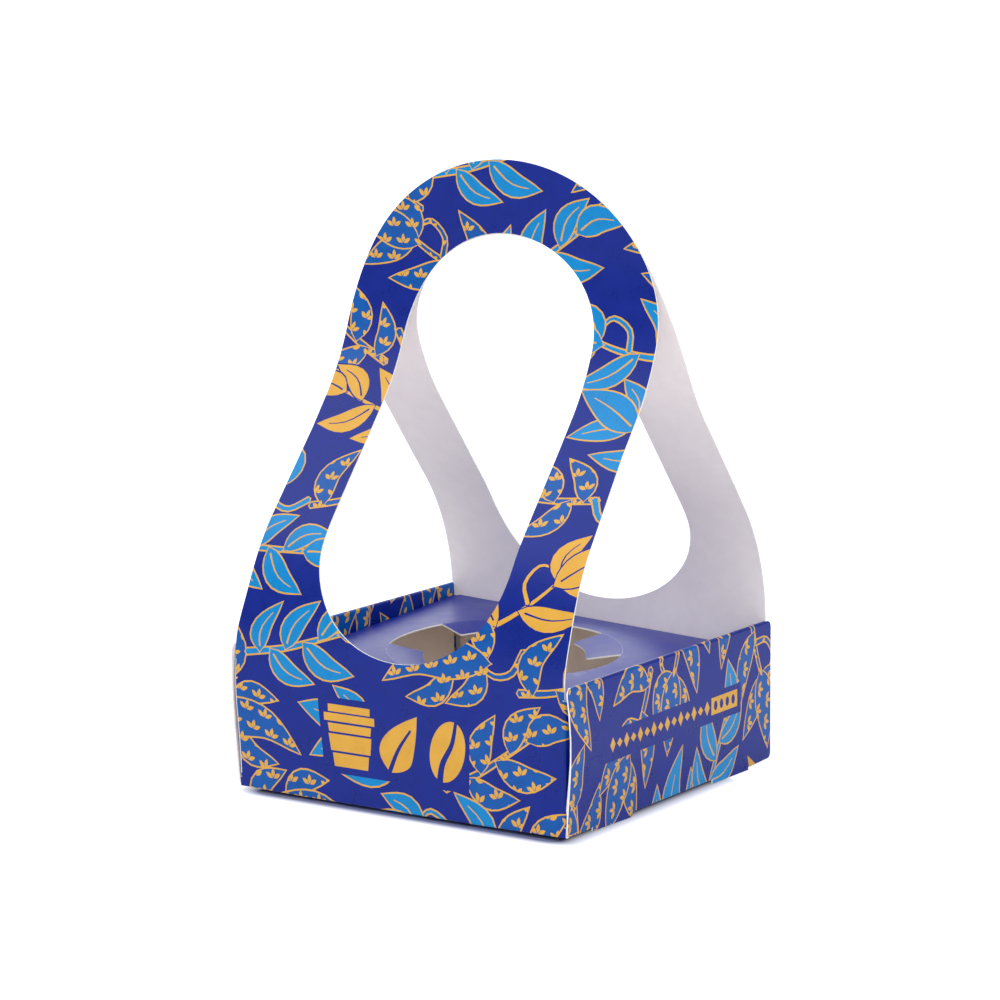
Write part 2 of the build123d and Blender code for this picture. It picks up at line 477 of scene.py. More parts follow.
@dataclass
class FlatSheet:
    """A die-cut sheet before it is folded: its outline, cut-outs, print and fold lines."""

    outline: np.ndarray
    cut_outs: list[np.ndarray] = field(default_factory=list)
    patches: list[Patch] = field(default_factory=list)
    guides: list[tuple[Point, Point]] = field(default_factory=list)

    def triangles(self) -> tuple[np.ndarray, np.ndarray, np.ndarray]:
        """Cut the sheet into triangles along every outline and fold line.

        Returns:
            The points, the anticlockwise triangles, and the ink of each triangle.
        """
        corners: list[Vector] = []
        faces: list[list[int]] = []
        for shape in (self.outline, *self.cut_outs, *(patch.points for patch in self.patches)):
            start = len(corners)
            corners.extend(Vector(p) for p in turned_left(shape).tolist())
            faces.append(list(range(start, len(corners))))
        lines = []
        for a, b in self.guides:
            lines.append((len(corners), len(corners) + 1))
            corners.extend((Vector(a), Vector(b)))
        made = delaunay_2d_cdt(corners, lines, faces, KEEP_INSIDE, JOIN_WITHIN)
        points, _, cut, _, _, sources = made
        holes = set(range(1, 1 + len(self.cut_outs)))
        first = 1 + len(self.cut_outs)
        kept, inks = [], []
        for face, covers in zip(cut, sources):
            if 0 not in covers or holes.intersection(covers):
                continue
            over = [self.patches[k - first] for k in sorted(covers) if k >= first]
            solid = [patch for patch in over if not patch.spot]
            number = solid[-1].number if solid else 0
            spotted = number and any(patch.spot and patch.number == number for patch in over)
            kept.append(face)
            inks.append(Ink.GOLD if spotted else solid[-1].ink if solid else Ink.INDIGO)
        triangles = np.array(kept)
        used = np.unique(triangles)
        renumber = np.zeros(len(points), int)
        renumber[used] = np.arange(len(used))
        return np.array([points[k] for k in used]), renumber[triangles], np.array(inks)


FoldRule = Callable[[np.ndarray, np.ndarray], np.ndarray]


@dataclass(frozen=True)
class FoldedBoard:
    """Gives a flat sheet its thickness and folds it into place."""

    name: str
    thickness: float
    print_faces_up: bool
    # Cut edges that turn less than this cosine says are shaded as one curve
    smooth_above: float = 0.8

    def build(
        self, sheet: FlatSheet, fold: FoldRule, materials: list[bpy.types.Material]
    ) -> bpy.types.Object:
        """Build the folded sheet as one closed mesh with exact normals.

        Args:
            sheet: The flat sheet.
            fold: Takes flat points and the points whose panel they belong to, and returns where
                the printed face lies.
            materials: One for each ink, in slot order.

        Returns:
            The folded sheet.
        """
        flat, triangles, inks = sheet.triangles()
        plain_flat, plain, _ = FlatSheet(sheet.outline, sheet.cut_outs, [], sheet.guides).triangles()
        side = 1 if self.print_faces_up else -1
        face, normal = self.place(flat, fold)
        back, back_normal = self.place(plain_flat, fold)
        rim, rim_normals = self.rim(triangles, face, normal)
        edge = np.unique(rim)
        copy_of = np.zeros(len(flat), int)
        copy_of[edge] = len(flat) + np.arange(len(edge))
        depth = side * self.thickness
        vertices = np.vstack((face, (face - normal * depth)[edge], back - back_normal * depth)) * MM
        printed = triangles[:, ::side]
        bare = plain[:, ::-side]
        quads = rim[:, ::-side]
        turned = rim_normals[:, ::-side]
        quads = np.hstack((quads, copy_of[quads[:, ::-1]]))
        turned = np.concatenate((turned, turned[:, ::-1]), axis=1)
        mesh = bpy.data.meshes.new(self.name)
        start = len(flat) + len(edge)
        mesh.from_pydata(vertices.tolist(), [], printed.tolist() + (bare + start).tolist() + quads.tolist())
        slots = np.concatenate((inks, np.full(len(bare), Ink.BACK), np.full(len(quads), Ink.RAW_EDGE)))
        mesh.polygons.foreach_set("material_index", slots.astype(np.int32))
        for material in materials:
            mesh.materials.append(material)
        mesh.shade_smooth()
        normals = np.concatenate(
            (
                side * normal[printed].reshape(-1, 3),
                -side * back_normal[bare].reshape(-1, 3),
                turned.reshape(-1, 3),
            )
        )
        mesh.normals_split_custom_set(normals.tolist())
        mesh.validate(verbose=False)
        board = bpy.data.objects.new(self.name, mesh)
        bpy.context.scene.collection.objects.link(board)
        return board

    def place(self, flat: np.ndarray, fold: FoldRule) -> tuple[np.ndarray, np.ndarray]:
        """Fold points of the printed face.

        Args:
            flat: Points on the flat sheet.
            fold: Folds them.

        Returns:
            Where they lie, and the unit normal there on the side that the flat sheet is seen from.
        """
        step = 0.02
        across = fold(flat + (step, 0.0), flat) - fold(flat - (step, 0.0), flat)
        upwards = fold(flat + (0.0, step), flat) - fold(flat - (0.0, step), flat)
        normal = np.cross(across, upwards)
        normal /= np.linalg.norm(normal, axis=1)[:, None]
        return fold(flat, flat), normal

    def rim(
        self, triangles: np.ndarray, vertices: np.ndarray, inward: np.ndarray
    ) -> tuple[np.ndarray, np.ndarray]:
        """Find the cut edges of a sheet.

        Args:
            triangles: The anticlockwise triangles of the flat sheet.
            vertices: Where the points lie once folded.
            inward: The unit normal on the side that the flat sheet is seen from.

        Returns:
            The two points of each cut edge, and the edge's normal at each of them.
        """
        sides = np.concatenate((triangles[:, [0, 1]], triangles[:, [1, 2]], triangles[:, [2, 0]]))
        size = len(inward)
        open_side = ~np.isin(sides[:, 0] * size + sides[:, 1], sides[:, 1] * size + sides[:, 0])
        rim = sides[open_side]
        course = vertices[rim[:, 1]] - vertices[rim[:, 0]]
        normal = np.cross(course, inward[rim[:, 0]] + inward[rim[:, 1]])
        normal /= np.linalg.norm(normal, axis=1)[:, None]
        arriving = np.zeros(size, int)
        leaving = np.zeros(size, int)
        arriving[rim[:, 1]] = np.arange(len(rim))
        leaving[rim[:, 0]] = np.arange(len(rim))
        pair = np.empty((len(rim), 2, 3))
        for k, neighbour in ((0, arriving[rim[:, 0]]), (1, leaving[rim[:, 1]])):
            other = normal[neighbour]
            smooth = np.sum(other * normal, axis=1) > self.smooth_above
            mean = normal + other
            mean /= np.maximum(np.linalg.norm(mean, axis=1), 1e-9)[:, None]
            pair[:, k] = np.where(smooth[:, None], mean, normal)
        return rim, pair


# The print


class StrokeForm(Enum):
    """How the width of a stroke runs along it."""

    LEAF = "leaf"
    STEM = "stem"


def smooth_course(knots: tuple[Point, ...], steps: int) -> np.ndarray:
    """Run a smooth curve through a few points.

    Args:
        knots: The points to pass through.
        steps: How many stations to divide the curve into.

    Returns:
        Evenly timed points on the curve.
    """
    given = np.array(knots, float)
    padded = np.vstack((2 * given[0] - given[1], given, 2 * given[-1] - given[-2]))
    stations = np.linspace(0, len(given) - 1, steps + 1)
    spans = np.minimum(stations.astype(int), len(given) - 2)
    t = (stations - spans)[:, None]
    a, b, c, d = (padded[spans + k] for k in range(4))
    return 0.5 * (2 * b + (c - a) * t + (2 * a - 5 * b + 4 * c - d) * t**2 + (3 * b - a - 3 * c + d) * t**3)


# A leaf is fullest a little before its middle and has round shoulders; both are powers
LEAF_FULLEST = 0.8
LEAF_SHOULDER = 0.9
# How far a leaf's tips pass the ends of its curve, and how much faster they grow than its sides
LEAF_TIP = 0.3
TIP_GROWTH = 1.6
# How wide a stem starts and how much it loses by its end, as shares of its half width
STEM_START = 1.1
STEM_TAPER = 0.6
# Half the width of a leaf's midrib
RIB_HALF = 0.36


@dataclass(frozen=True)
class Stroke:
    """A leaf or a stem drawn along a curve."""

    form: StrokeForm
    knots: tuple[Point, ...]
    half_width: float
    steps: int = 9

    def outline(self, grow: float = 0.0) -> np.ndarray:
        """Return the stroke's outline, grown all round by a distance.

        Args:
            grow: How far outside the stroke the outline runs.

        Returns:
            The closed outline's points.
        """
        course = smooth_course(self.knots, self.steps)
        t = np.linspace(0, 1, self.steps + 1)
        if self.form is StrokeForm.LEAF:
            width = self.half_width * np.sin(math.pi * t**LEAF_FULLEST) ** LEAF_SHOULDER
            tips = LEAF_TIP + TIP_GROWTH * grow
        else:
            width = self.half_width * (STEM_START - STEM_TAPER * t)
            tips = 0.5 * self.half_width + grow
        heading = np.gradient(course, axis=0)
        heading /= np.linalg.norm(heading, axis=1)[:, None]
        side = np.column_stack((-heading[:, 1], heading[:, 0])) * (width + grow)[:, None]
        start = course[0] - heading[0] * tips
        end = course[-1] + heading[-1] * tips
        left, right = course + side, course - side
        if self.form is StrokeForm.LEAF and not grow:
            left, right = left[1:-1], right[1:-1]
        return np.vstack((start, right, end, left[::-1]))

    def midrib(self) -> np.ndarray:
        """Return the outline of the fine line that runs up the middle of a leaf."""
        course = smooth_course(self.knots, 10)[1:9]
        return Stroke(StrokeForm.STEM, tuple(map(tuple, course)), RIB_HALF, 5).outline()

    def reaches(self, point: np.ndarray, room: float) -> bool:
        """Return whether a point lies on the stroke or within a distance of it."""
        course = smooth_course(self.knots, self.steps)
        return bool(np.min(np.linalg.norm(course - point, axis=1)) < self.half_width + room)


LEAF, STEM = StrokeForm.LEAF, StrokeForm.STEM

BRANCH = (
    Stroke(STEM, ((-31, -7), (-14, -4), (2, 1), (14, 5)), 0.95),
    Stroke(LEAF, ((-25, -6), (-25, 3), (-18, 13)), 4.2),
    Stroke(LEAF, ((-20, -5), (-12, -13), (0, -16)), 4.3),
    Stroke(LEAF, ((-13, -4), (-10, 6), (-1, 15)), 4.7),
    Stroke(LEAF, ((-5, -1), (5, -9), (18, -11)), 4.9),
    Stroke(LEAF, ((2, 1), (8, 10), (19, 15)), 4.4),
    Stroke(LEAF, ((11, 4), (21, 7), (33, 3)), 5.3),
)
TULIP = (
    Stroke(STEM, ((-30, -13), (-18, -10), (-6, -5), (4, 1)), 1.0),
    Stroke(LEAF, ((-24, -12), (-27, 0), (-18, 12)), 4.8, 10),
    Stroke(LEAF, ((-14, -8), (-1, -14), (14, -15)), 4.6),
    Stroke(STEM, ((-10, -6), (-11, 2), (-5, 8), (1, 6)), 0.8),
    Stroke(LEAF, ((3, 0), (5, 10), (15, 17)), 4.7),
    Stroke(LEAF, ((3, 0), (15, -4), (27, -10)), 4.7),
    Stroke(LEAF, ((1, -1), (15, 5), (31, 9)), 6.6, 11),
)
PLUME = (
    Stroke(STEM, ((-32, -2), (-26, -9), (-18, -9), (-12, -3)), 1.0),
    Stroke(LEAF, ((-16, -2), (-14, 9), (-3, 15)), 4.6),
    Stroke(LEAF, ((-14, -5), (-7, -13), (5, -15)), 4.4),
    Stroke(LEAF, ((-2, 4), (5, 12), (17, 14)), 4.5),
    Stroke(LEAF, ((0, -4), (10, -11), (22, -10)), 4.2),
    Stroke(LEAF, ((-17, -4), (-2, 0), (14, 3), (31, -2)), 7.2, 13),
)


@dataclass(frozen=True)
class LeafPattern:
    """The all-over print: rows of leafy sprigs, each leaf outlined in gold."""

    pitch_across: float = 62.0
    pitch_up: float = 33.0
    row_shift: float = 25.0
    line: float = 0.65
    # Sprigs behind this line of the blank are turned round, so they stand upright on both walls
    turned_beyond: float = 20.0
    # The sprigs lean by up to twice this to either side
    sway: float = 8.0
    # A spot is a tiny three-leaved sprig; its leaves have a length and a half width, and the outer
    # two spread by an angle
    spot_pitch: Point = (8.6, 6.4)
    spot_leaf: Point = (3.9, 0.85)
    spot_spread: float = 56.0
    # How near a stroke a spot's middle has to lie, how far below it the leaves' lengths are
    # measured from, and how far from there a leaf starts
    spot_room: float = 2.0
    spot_drop: float = 1.4
    spot_root: float = 0.35
    # Where along a spot's leaf it is fullest, and where its neck is and how wide, as shares
    spot_belly: float = 0.45
    spot_neck: Point = (0.78, 0.75)

    def motif(
        self, strokes: tuple[Stroke, ...], number: int, ink: Ink, spin: np.ndarray, centre: Point
    ) -> list[Patch]:
        """Draw one sprig of the print.

        Args:
            strokes: Its stems and leaves, drawn as seen on the printed face.
            number: The sprig's own number.
            ink: Its fill. Royal blue leaves get gold spots, the others a midrib.
            spin: The matrix that turns or mirrors the sprig.
            centre: Its middle on the blank.

        Returns:
            The printed shapes.
        """
        patches = []
        line_ink = Ink.INDIGO if ink is Ink.GOLD else Ink.GOLD
        for stroke in strokes:
            patches.append(Patch(stroke.outline(self.line) @ spin + centre, line_ink))
            patches.append(Patch(stroke.outline() @ spin + centre, ink, number if ink is Ink.ROYAL else 0))
            if stroke.form is StrokeForm.LEAF and ink is not Ink.ROYAL:
                patches.append(Patch(stroke.midrib() @ spin + centre, line_ink))
        if ink is Ink.ROYAL:
            spots = self.spots(strokes)
            patches.extend(Patch(spot @ spin + centre, Ink.GOLD, number, True) for spot in spots)
        return patches

    def spots(self, strokes: tuple[Stroke, ...]) -> list[np.ndarray]:
        """Return the spots that fall on a sprig's strokes.

        Args:
            strokes: The sprig's stems and leaves.

        Returns:
            The outline of each small leaf of each spot.
        """
        long, wide = self.spot_leaf
        neck_at, neck_wide = self.spot_neck
        found = []
        for row in range(-3, 4):
            for column in range(-5, 6):
                x = (column + 0.5 * (row % 2)) * self.spot_pitch[0]
                middle = np.array((x, row * self.spot_pitch[1]))
                if not any(stroke.reaches(middle, self.spot_room) for stroke in strokes):
                    continue
                for turn in (-self.spot_spread, 0.0, self.spot_spread):
                    a = math.radians(turn)
                    ahead = np.array((math.sin(a), math.cos(a)))
                    side = np.array((math.cos(a), -math.sin(a)))
                    root = middle - (0.0, self.spot_drop)
                    tip = root + ahead * long
                    belly = root + ahead * self.spot_belly * long
                    neck = root + ahead * neck_at * long
                    near = (belly + side * wide, neck + side * neck_wide * wide, tip)
                    far = (neck - side * neck_wide * wide, belly - side * wide)
                    found.append(np.array((root + ahead * self.spot_root, *near, *far)))
        return found

    def patches(self, covers: Callable[[float, float], bool]) -> list[Patch]:
        """Fill a blank with the print.

        Args:
            covers: Whether a sprig centred there reaches the blank.

        Returns:
            Every printed shape of the pattern, in the order of printing.
        """
        fills = (Ink.ROYAL, Ink.SKY, Ink.ROYAL, Ink.ROYAL, Ink.SKY, Ink.ROYAL, Ink.GOLD)
        made = []
        number = 0
        for row in range(-11, 12):
            for column in range(-5, 5):
                x = column * self.pitch_across + (row * self.row_shift) % self.pitch_across
                y = row * self.pitch_up
                number += 1
                if not covers(x, y):
                    continue
                strokes = (BRANCH, TULIP, PLUME)[(row + 2 * column) % 3]
                mirror = 1 if (row + column) % 2 else -1
                lean = self.sway * ((row * 5 + column * 3) % 5 - 2)
                turn = math.radians(180.0 * (y > self.turned_beyond) + lean)
                c, s = math.cos(turn), math.sin(turn)
                spin = np.array(((mirror, 0), (0, -1))) @ np.array(((c, s), (-s, c)))
                made += self.motif(strokes, number, fills[(3 * row + column) % 7], spin, (x, y))
        return made


@dataclass(frozen=True)
class WallEmblems:
    """Plain pictograms on the front wall, and a row of small marks on the right wall."""

    height: float = 23.5
    clearing: float = 2.6
    # Half the width of each band of the cup, its top and bottom below the rim, and its inset
    cup_bands: tuple[tuple[float, float, float, float], ...] = (
        (9.6, 0.0, 2.8, 0.0),
        (11.6, 3.4, 6.4, 0.0),
        (10.0, 7.2, 10.4, 0.5),
        (9.9, 11.2, 17.6, 0.8),
        (8.4, 18.4, 23.5, 0.7),
    )
    cup_middle: float = -21.5
    leaf_middle: float = 3.0
    bean_middle: float = 23.0
    middle_height: float = 26.8
    mark_pitch: float = 4.9
    mark_half: Point = (1.9, 2.9)
    marks_start: float = -44.0
    marks_end: float = 25.0
    mark_height: float = 31.0
    # Where the box starts and ends, and its height
    box: Triple = (27.8, 47.3, 6.7)
    # The dots in the box: the first one's place in it, their pitch and half their size
    dot_start: float = 3.2
    dot_pitch: float = 4.4
    dot_half: Point = (1.3, 1.9)
    # Every second mark has only this share of the others' height
    short_mark: float = 0.62
    # How far the plain ground reaches before the first mark and past the box, and below and above
    # the marks' middle
    ground_ends: Point = (4.5, 2.6)
    ground_rise: Point = (6.2, 5.6)
    # The front's plain ground reaches this far beyond the middles of the cup and of the bean, and
    # the clearing further; it is narrower at the bottom by the inset
    ground_halves: Point = (11.6, 8.0)
    ground_inset: float = 1.5
    bean_half: Point = (7.6, 11.9)
    bean_turn: float = -18.0

    def ellipse(self, middle: Point, half: Point, turn: float = 0.0, steps: int = 36) -> np.ndarray:
        """Draw an ellipse.

        Args:
            middle: Its middle.
            half: Half its width and half its height.
            turn: How far it is turned anticlockwise.
            steps: How many points it gets.

        Returns:
            The outline's points.
        """
        t = np.linspace(0, 2 * math.pi, steps, endpoint=False)
        c, s = math.cos(math.radians(turn)), math.sin(math.radians(turn))
        x, y = half[0] * np.cos(t), half[1] * np.sin(t)
        return np.column_stack((c * x - s * y, s * x + c * y)) + middle

    def block(self, low: Point, high: Point, inset: float = 0.0) -> np.ndarray:
        """Return an upright block's outline, narrower at the bottom by an inset at each side."""
        left, right = low[0] + inset, high[0] - inset
        return np.array(((left, low[1]), (right, low[1]), high, (low[0], high[1])))

    def front(self) -> list[tuple[np.ndarray, Ink]]:
        """Draw the front wall's pictograms: a cup, a leaf and a bean, seen from the front.

        Returns:
            Outlines with width across and height up, and their ink.
        """
        low, high = self.middle_height - self.height / 2, self.middle_height + self.height / 2
        room = self.clearing
        cup, leaf, bean = self.cup_middle, self.leaf_middle, self.bean_middle
        before, after = self.ground_halves
        ground_low, ground_high = (cup - before - room, low - room), (bean + after + room, high + room)
        shapes = [(self.block(ground_low, ground_high, self.ground_inset), Ink.INDIGO)]
        for half, top, bottom, inset in self.cup_bands:
            band = self.block((cup - half, high - bottom), (cup + half, high - top), inset)
            shapes.append((band, Ink.GOLD))
        blade = ((leaf - 6.5, low + 1), (leaf - 2.5, low + 10), (leaf + 6.5, high - 0.5))
        vein = ((leaf - 7.5, low - 0.5), (leaf - 2.5, low + 9.5), (leaf + 3.5, high - 6))
        shapes.append((Stroke(LEAF, blade, 7.6, 24).outline(), Ink.GOLD))
        shapes.append((Stroke(STEM, vein, 0.9, 12).outline(), Ink.INDIGO))
        middle = (bean, self.middle_height)
        shapes.append((self.ellipse(middle, self.bean_half, self.bean_turn), Ink.GOLD))
        lower = ((bean - 4.2, low - 1), (bean - 2.4, low + 7))
        upper = ((bean + 2.2, low + 15), (bean + 4.4, high + 1))
        shapes.append((Stroke(STEM, (*lower, *upper), 1.3, 16).outline(), Ink.INDIGO))
        return shapes

    def side(self) -> list[tuple[np.ndarray, Ink]]:
        """Draw the right wall's row of marks and its box, seen from the right.

        Returns:
            Outlines with Y across and height up, and their ink.
        """
        wide, high = self.mark_half
        start, end, box_high = self.box
        level = self.mark_height
        (before, after), (below, above) = self.ground_ends, self.ground_rise
        ground = self.block((self.marks_start - before, level - below), (end + after, level + above))
        box = self.block((start, level - box_high / 2), (end, level + box_high / 2))
        shapes = [(ground, Ink.INDIGO), (box, Ink.GOLD)]
        places = np.arange(self.marks_start, self.marks_end, self.mark_pitch)
        for k, place in enumerate(places):
            tall = high if k % 2 == 0 else self.short_mark * high
            mark = np.array(((-wide, 0), (0, -tall), (wide, 0), (0, tall))) + (place, level)
            shapes.append((mark, Ink.GOLD))
        for k in range(4):
            place = (start + self.dot_start + self.dot_pitch * k, level)
            dot = self.ellipse(place, self.dot_half, 0.0, 14)
            shapes.append((dot, Ink.INDIGO))
        return shapes


# The carrier sheet


@dataclass(frozen=True)
class HandlePanel:
    """A wall with the arched handle above it. Heights are above the ground."""

    direction: int
    inside: float
    leg_half: float
    taper_height: float
    arch_centre: float
    arch_top: float
    hole_half: float
    hole_centre: float
    hole_top: float
    hole_bottom: float
    bend_centre: float = 98.0


@dataclass(frozen=True)
class CarrierSheet:
    """The printed sheet: base, two walls with handles, two rolled side walls, feet and tabs."""

    board: float = 0.6
    crease: float = 0.6
    underside: float = 2.0
    half_width: float = 75.0
    half_depth: float = 73.0
    wall_height: float = 55.0
    wall_corner: float = 2.5
    roll: float = 1.05
    roll_end: float = 69.5
    inner_leaf: float = 53.2
    leaf_bevel: float = 2.0
    # How much further than the start of a side wall's rounded corner the base reaches there, and
    # the heights above the ground at which the round gets points
    corner_relief: float = 1.3
    corner_heights: Triple = (3.0, 3.5, 4.0)
    panel_half: float = 74.25
    lean: float = 2.5
    slope: float = 38.4
    lower_curve: float = 82.0
    upper_curve: float = 95.0
    foot_half: float = 13.5
    foot_middle: float = 42.5
    slit: float = 0.3
    slot_inner: float = 72.0
    tab_half: float = 12.5
    tab_length: float = 0.75
    tab_bevel: float = 0.6
    flap_length: float = 35.0
    flap_taper: float = 6.0
    flap_low: float = 6.0
    flap_high: float = 51.9
    flap_crease: float = 0.7
    # The narrow cuts that free a flap above and below, and how far they pass its crease
    flap_relief: float = 0.4
    flap_undercut: float = 0.05
    # How far above and below a flap its crease still bends
    flap_margin: float = 0.2
    # The width of a bare pale line drawn along a crease
    pale_line_width: float = 0.7
    # Into how many parts the folds are divided: crease, wall, curve, leg and curve of a handle,
    # then crease, leaf, roll and leaf of a side wall
    panel_parts: tuple[int, ...] = (6, 5, 21, 5, 25)
    side_parts: tuple[int, ...] = (5, 6, 8, 4)
    top_pitch: float = 12.0
    # How far from the blank's middle the dividing lines end
    guide_across: float = 78.0
    guide_up: float = 345.0
    guide_base: float = 74.0
    guide_deep: float = 73.5
    guide_out: float = 188.0
    # On the blank, what lies deeper than the first of these is a wall with a handle, and so is
    # what lies past the base crease and less far out than the second
    panel_beyond: float = 75.0
    panel_within: float = 74.6
    # How far the blank's ends lie from its middle, and how far a sprig reaches from its own middle
    blank_up: float = 335.0
    blank_out: float = 186.0
    motif_reach: float = 34.0
    # How the soft sheet has settled, read from the photograph
    left_splay: float = 3.0
    right_bow: float = 1.9
    top_drift: float = 1.9
    left_drift: float = 2.5
    left_bulge: float = 1.6
    right_tuck: float = 1.7
    edge_recess: float = 1.5
    drift_reach: float = 15.0
    # How far from the middle the side walls' drift starts and a leg's curl starts to fade, and over
    # what length each changes
    side_from: float = 60.0
    side_fade: float = 10.0
    leg_from: float = 43.0
    leg_fade: float = 30.0
    # How far past its crease a corner flap starts to follow the side wall, and over what length it
    # comes to follow it and leaves its own wall's drift
    flap_follow: float = 2.0
    flap_fade: float = 4.0
    # Radians of a sine over the wall's height: pi comes back to nought at the top, less doesn't
    open_wave: float = 1.9
    bulge_wave: float = 2.4
    # Powers of the height that push the fullest part of a bow above the middle
    bow_power: float = 1.35
    tuck_power: float = 1.2
    # How far from the middle the base starts to sag, towards the side walls and towards the front
    # and rear ones, and over what length it does
    sag_from: Point = (66.0, 64.0)
    sag_reach: float = 6.0
    leg_curl: float = 1.7
    curl_height: float = 105.0
    curl_reach: float = 25.0
    # How far the base creases hang lower, by place along the side walls and then along the front
    # and rear ones; it fades out over the height
    settle_at: tuple[float, ...] = (-73.0, -57.0, -36.0, -28.5, -26.0, 20.0, 49.0, 56.5, 66.0, 73.0)
    settle_by: tuple[float, ...] = (0.3, 0.1, 0.2, 0.5, 0.0, 0.0, 0.2, 0.8, 0.5, 0.2)
    front_at: tuple[float, ...] = (-75.0, -45.0, 35.0, 75.0)
    front_by: tuple[float, ...] = (0.6, 0.9, 0.8, 0.3)
    settle_height: float = 12.0
    # How far the feet end above the ground, by place along the side walls
    foot_at: tuple[float, ...] = (-56.0, -29.0, 29.0, 56.0)
    foot_lift: tuple[float, ...] = (0.9, 0.3, 0.6, 0.35)
    front: HandlePanel = HandlePanel(-1, -1.35, 70.5, 135.0, 172.0, 239.0, 43.2, 169.0, 211.1, 57.0)
    rear: HandlePanel = HandlePanel(1, 1.65, 75.3, 115.0, 158.0, 238.5, 46.0, 166.0, 210.5, 58.3)

    @property
    def wall_top(self) -> float:
        """Return the height of the walls' top."""
        return self.underside + self.wall_height

    @property
    def panel_start(self) -> float:
        """Return how far from the blank's middle the front and rear creases start."""
        return self.half_depth - self.crease

    @property
    def leaf_start(self) -> float:
        """Return how far from the blank's middle the outer leaf of a side wall starts."""
        return self.half_width - self.crease + self.crease * math.pi / 2

    def panel_strip(self, panel: HandlePanel) -> FoldedStrip:
        """Return the side view of a wall and its handle, from the base crease up.

        Args:
            panel: The front or the rear panel.

        Returns:
            The folded strip.
        """
        lean, slope = math.radians(self.lean), math.radians(self.slope)
        run = (self.wall_height - self.crease - self.crease * math.sin(lean)) / math.cos(lean)
        wall_out = self.half_depth - self.crease + self.crease * math.cos(lean) - run * math.sin(lean)
        lower = self.lower_curve * (math.cos(lean) - math.cos(slope))
        upper = self.upper_curve * (1 - math.cos(slope))
        leg = (wall_out - lower - upper - panel.inside - self.board) / math.sin(slope)
        folds = (
            bend(self.crease, 90 + self.lean),
            Fold(run),
            bend(self.lower_curve, self.slope - self.lean),
            Fold(leg),
            bend(self.upper_curve, -self.slope),
            Fold(80.0),
        )
        return FoldedStrip(self.panel_start, self.underside, folds)

    def side_strip(self) -> FoldedStrip:
        """Draw the end view of a side wall, from the middle of the base out.

        Returns:
            The folded strip.
        """
        leaf = self.wall_height - self.crease - self.roll
        folds = (
            Fold(self.half_width - self.crease),
            bend(self.crease, 90),
            Fold(leaf),
            bend(self.roll, 180),
            Fold(self.inner_leaf),
        )
        return FoldedStrip(0.0, self.underside, folds)

    def flap_range(self, strip: FoldedStrip) -> np.ndarray:
        """Find where along a wall its corner flaps start and end, with a margin.

        Args:
            strip: The wall's side view.

        Returns:
            Two distances along the strip.
        """
        ends = np.array((self.flap_low, self.flap_high))
        return strip.along_at(ends, WALL_SEARCH) + (-self.flap_margin, self.flap_margin)

    def panel_edge(self, panel: HandlePanel, strip: FoldedStrip) -> list[Point]:
        """Return a panel's right edge on the blank, from the base up to the top of the arch.

        Args:
            panel: The front or the rear panel.
            strip: Its side view.

        Returns:
            Points of the edge.
        """
        top = panel.arch_top - panel.arch_centre
        turns = np.linspace(0, math.pi / 2, 44)
        flap_bend = self.flap_crease * math.pi / 2
        hinge = self.panel_half - self.flap_crease
        reach = hinge + flap_bend + self.flap_length - self.flap_crease
        low, high = strip.along_at(np.array((self.flap_low, self.flap_high)), WALL_SEARCH)
        ends = np.array((self.wall_top, panel.taper_height))
        wall_top, taper = strip.along_at(ends, HANDLE_SEARCH)
        inner, relief = hinge - self.flap_undercut, self.flap_relief
        edge = [
            (self.panel_half, 0.0),
            (self.panel_half, low - relief),
            (inner, low - relief),
            (inner, low),
            (reach, low + self.flap_taper),
            (reach, high - self.flap_taper),
            (inner, high),
            (inner, high + relief),
            (self.panel_half, high + relief),
            (self.panel_half, wall_top),
            (panel.leg_half, taper),
        ]
        heights = panel.arch_centre + top * np.sin(turns)
        alongs = strip.along_at(heights, HANDLE_SEARCH)
        edge += list(zip(panel.leg_half * np.cos(turns), alongs))
        edge[-1] = (0.0, edge[-1][1])
        return [(x, panel.direction * (self.panel_start + s)) for x, s in edge]

    def panel_hole(self, panel: HandlePanel, strip: FoldedStrip) -> np.ndarray:
        """Draw the hand hole of a panel on the blank.

        Args:
            panel: The front or the rear panel.
            strip: Its side view.

        Returns:
            The hole's outline.
        """
        turns = np.linspace(0, math.pi, 61)
        top = panel.hole_top - panel.hole_centre
        bottom = panel.bend_centre - panel.hole_bottom
        upper = np.column_stack((np.cos(turns), panel.hole_centre + top * np.sin(turns)))
        lower = np.column_stack((-np.cos(turns), panel.bend_centre - bottom * np.sin(turns)))
        ring = np.vstack((upper, lower))
        along = strip.along_at(ring[:, 1], HANDLE_SEARCH)
        out = panel.direction * (self.panel_start + along)
        return np.column_stack((ring[:, 0] * panel.hole_half, out))

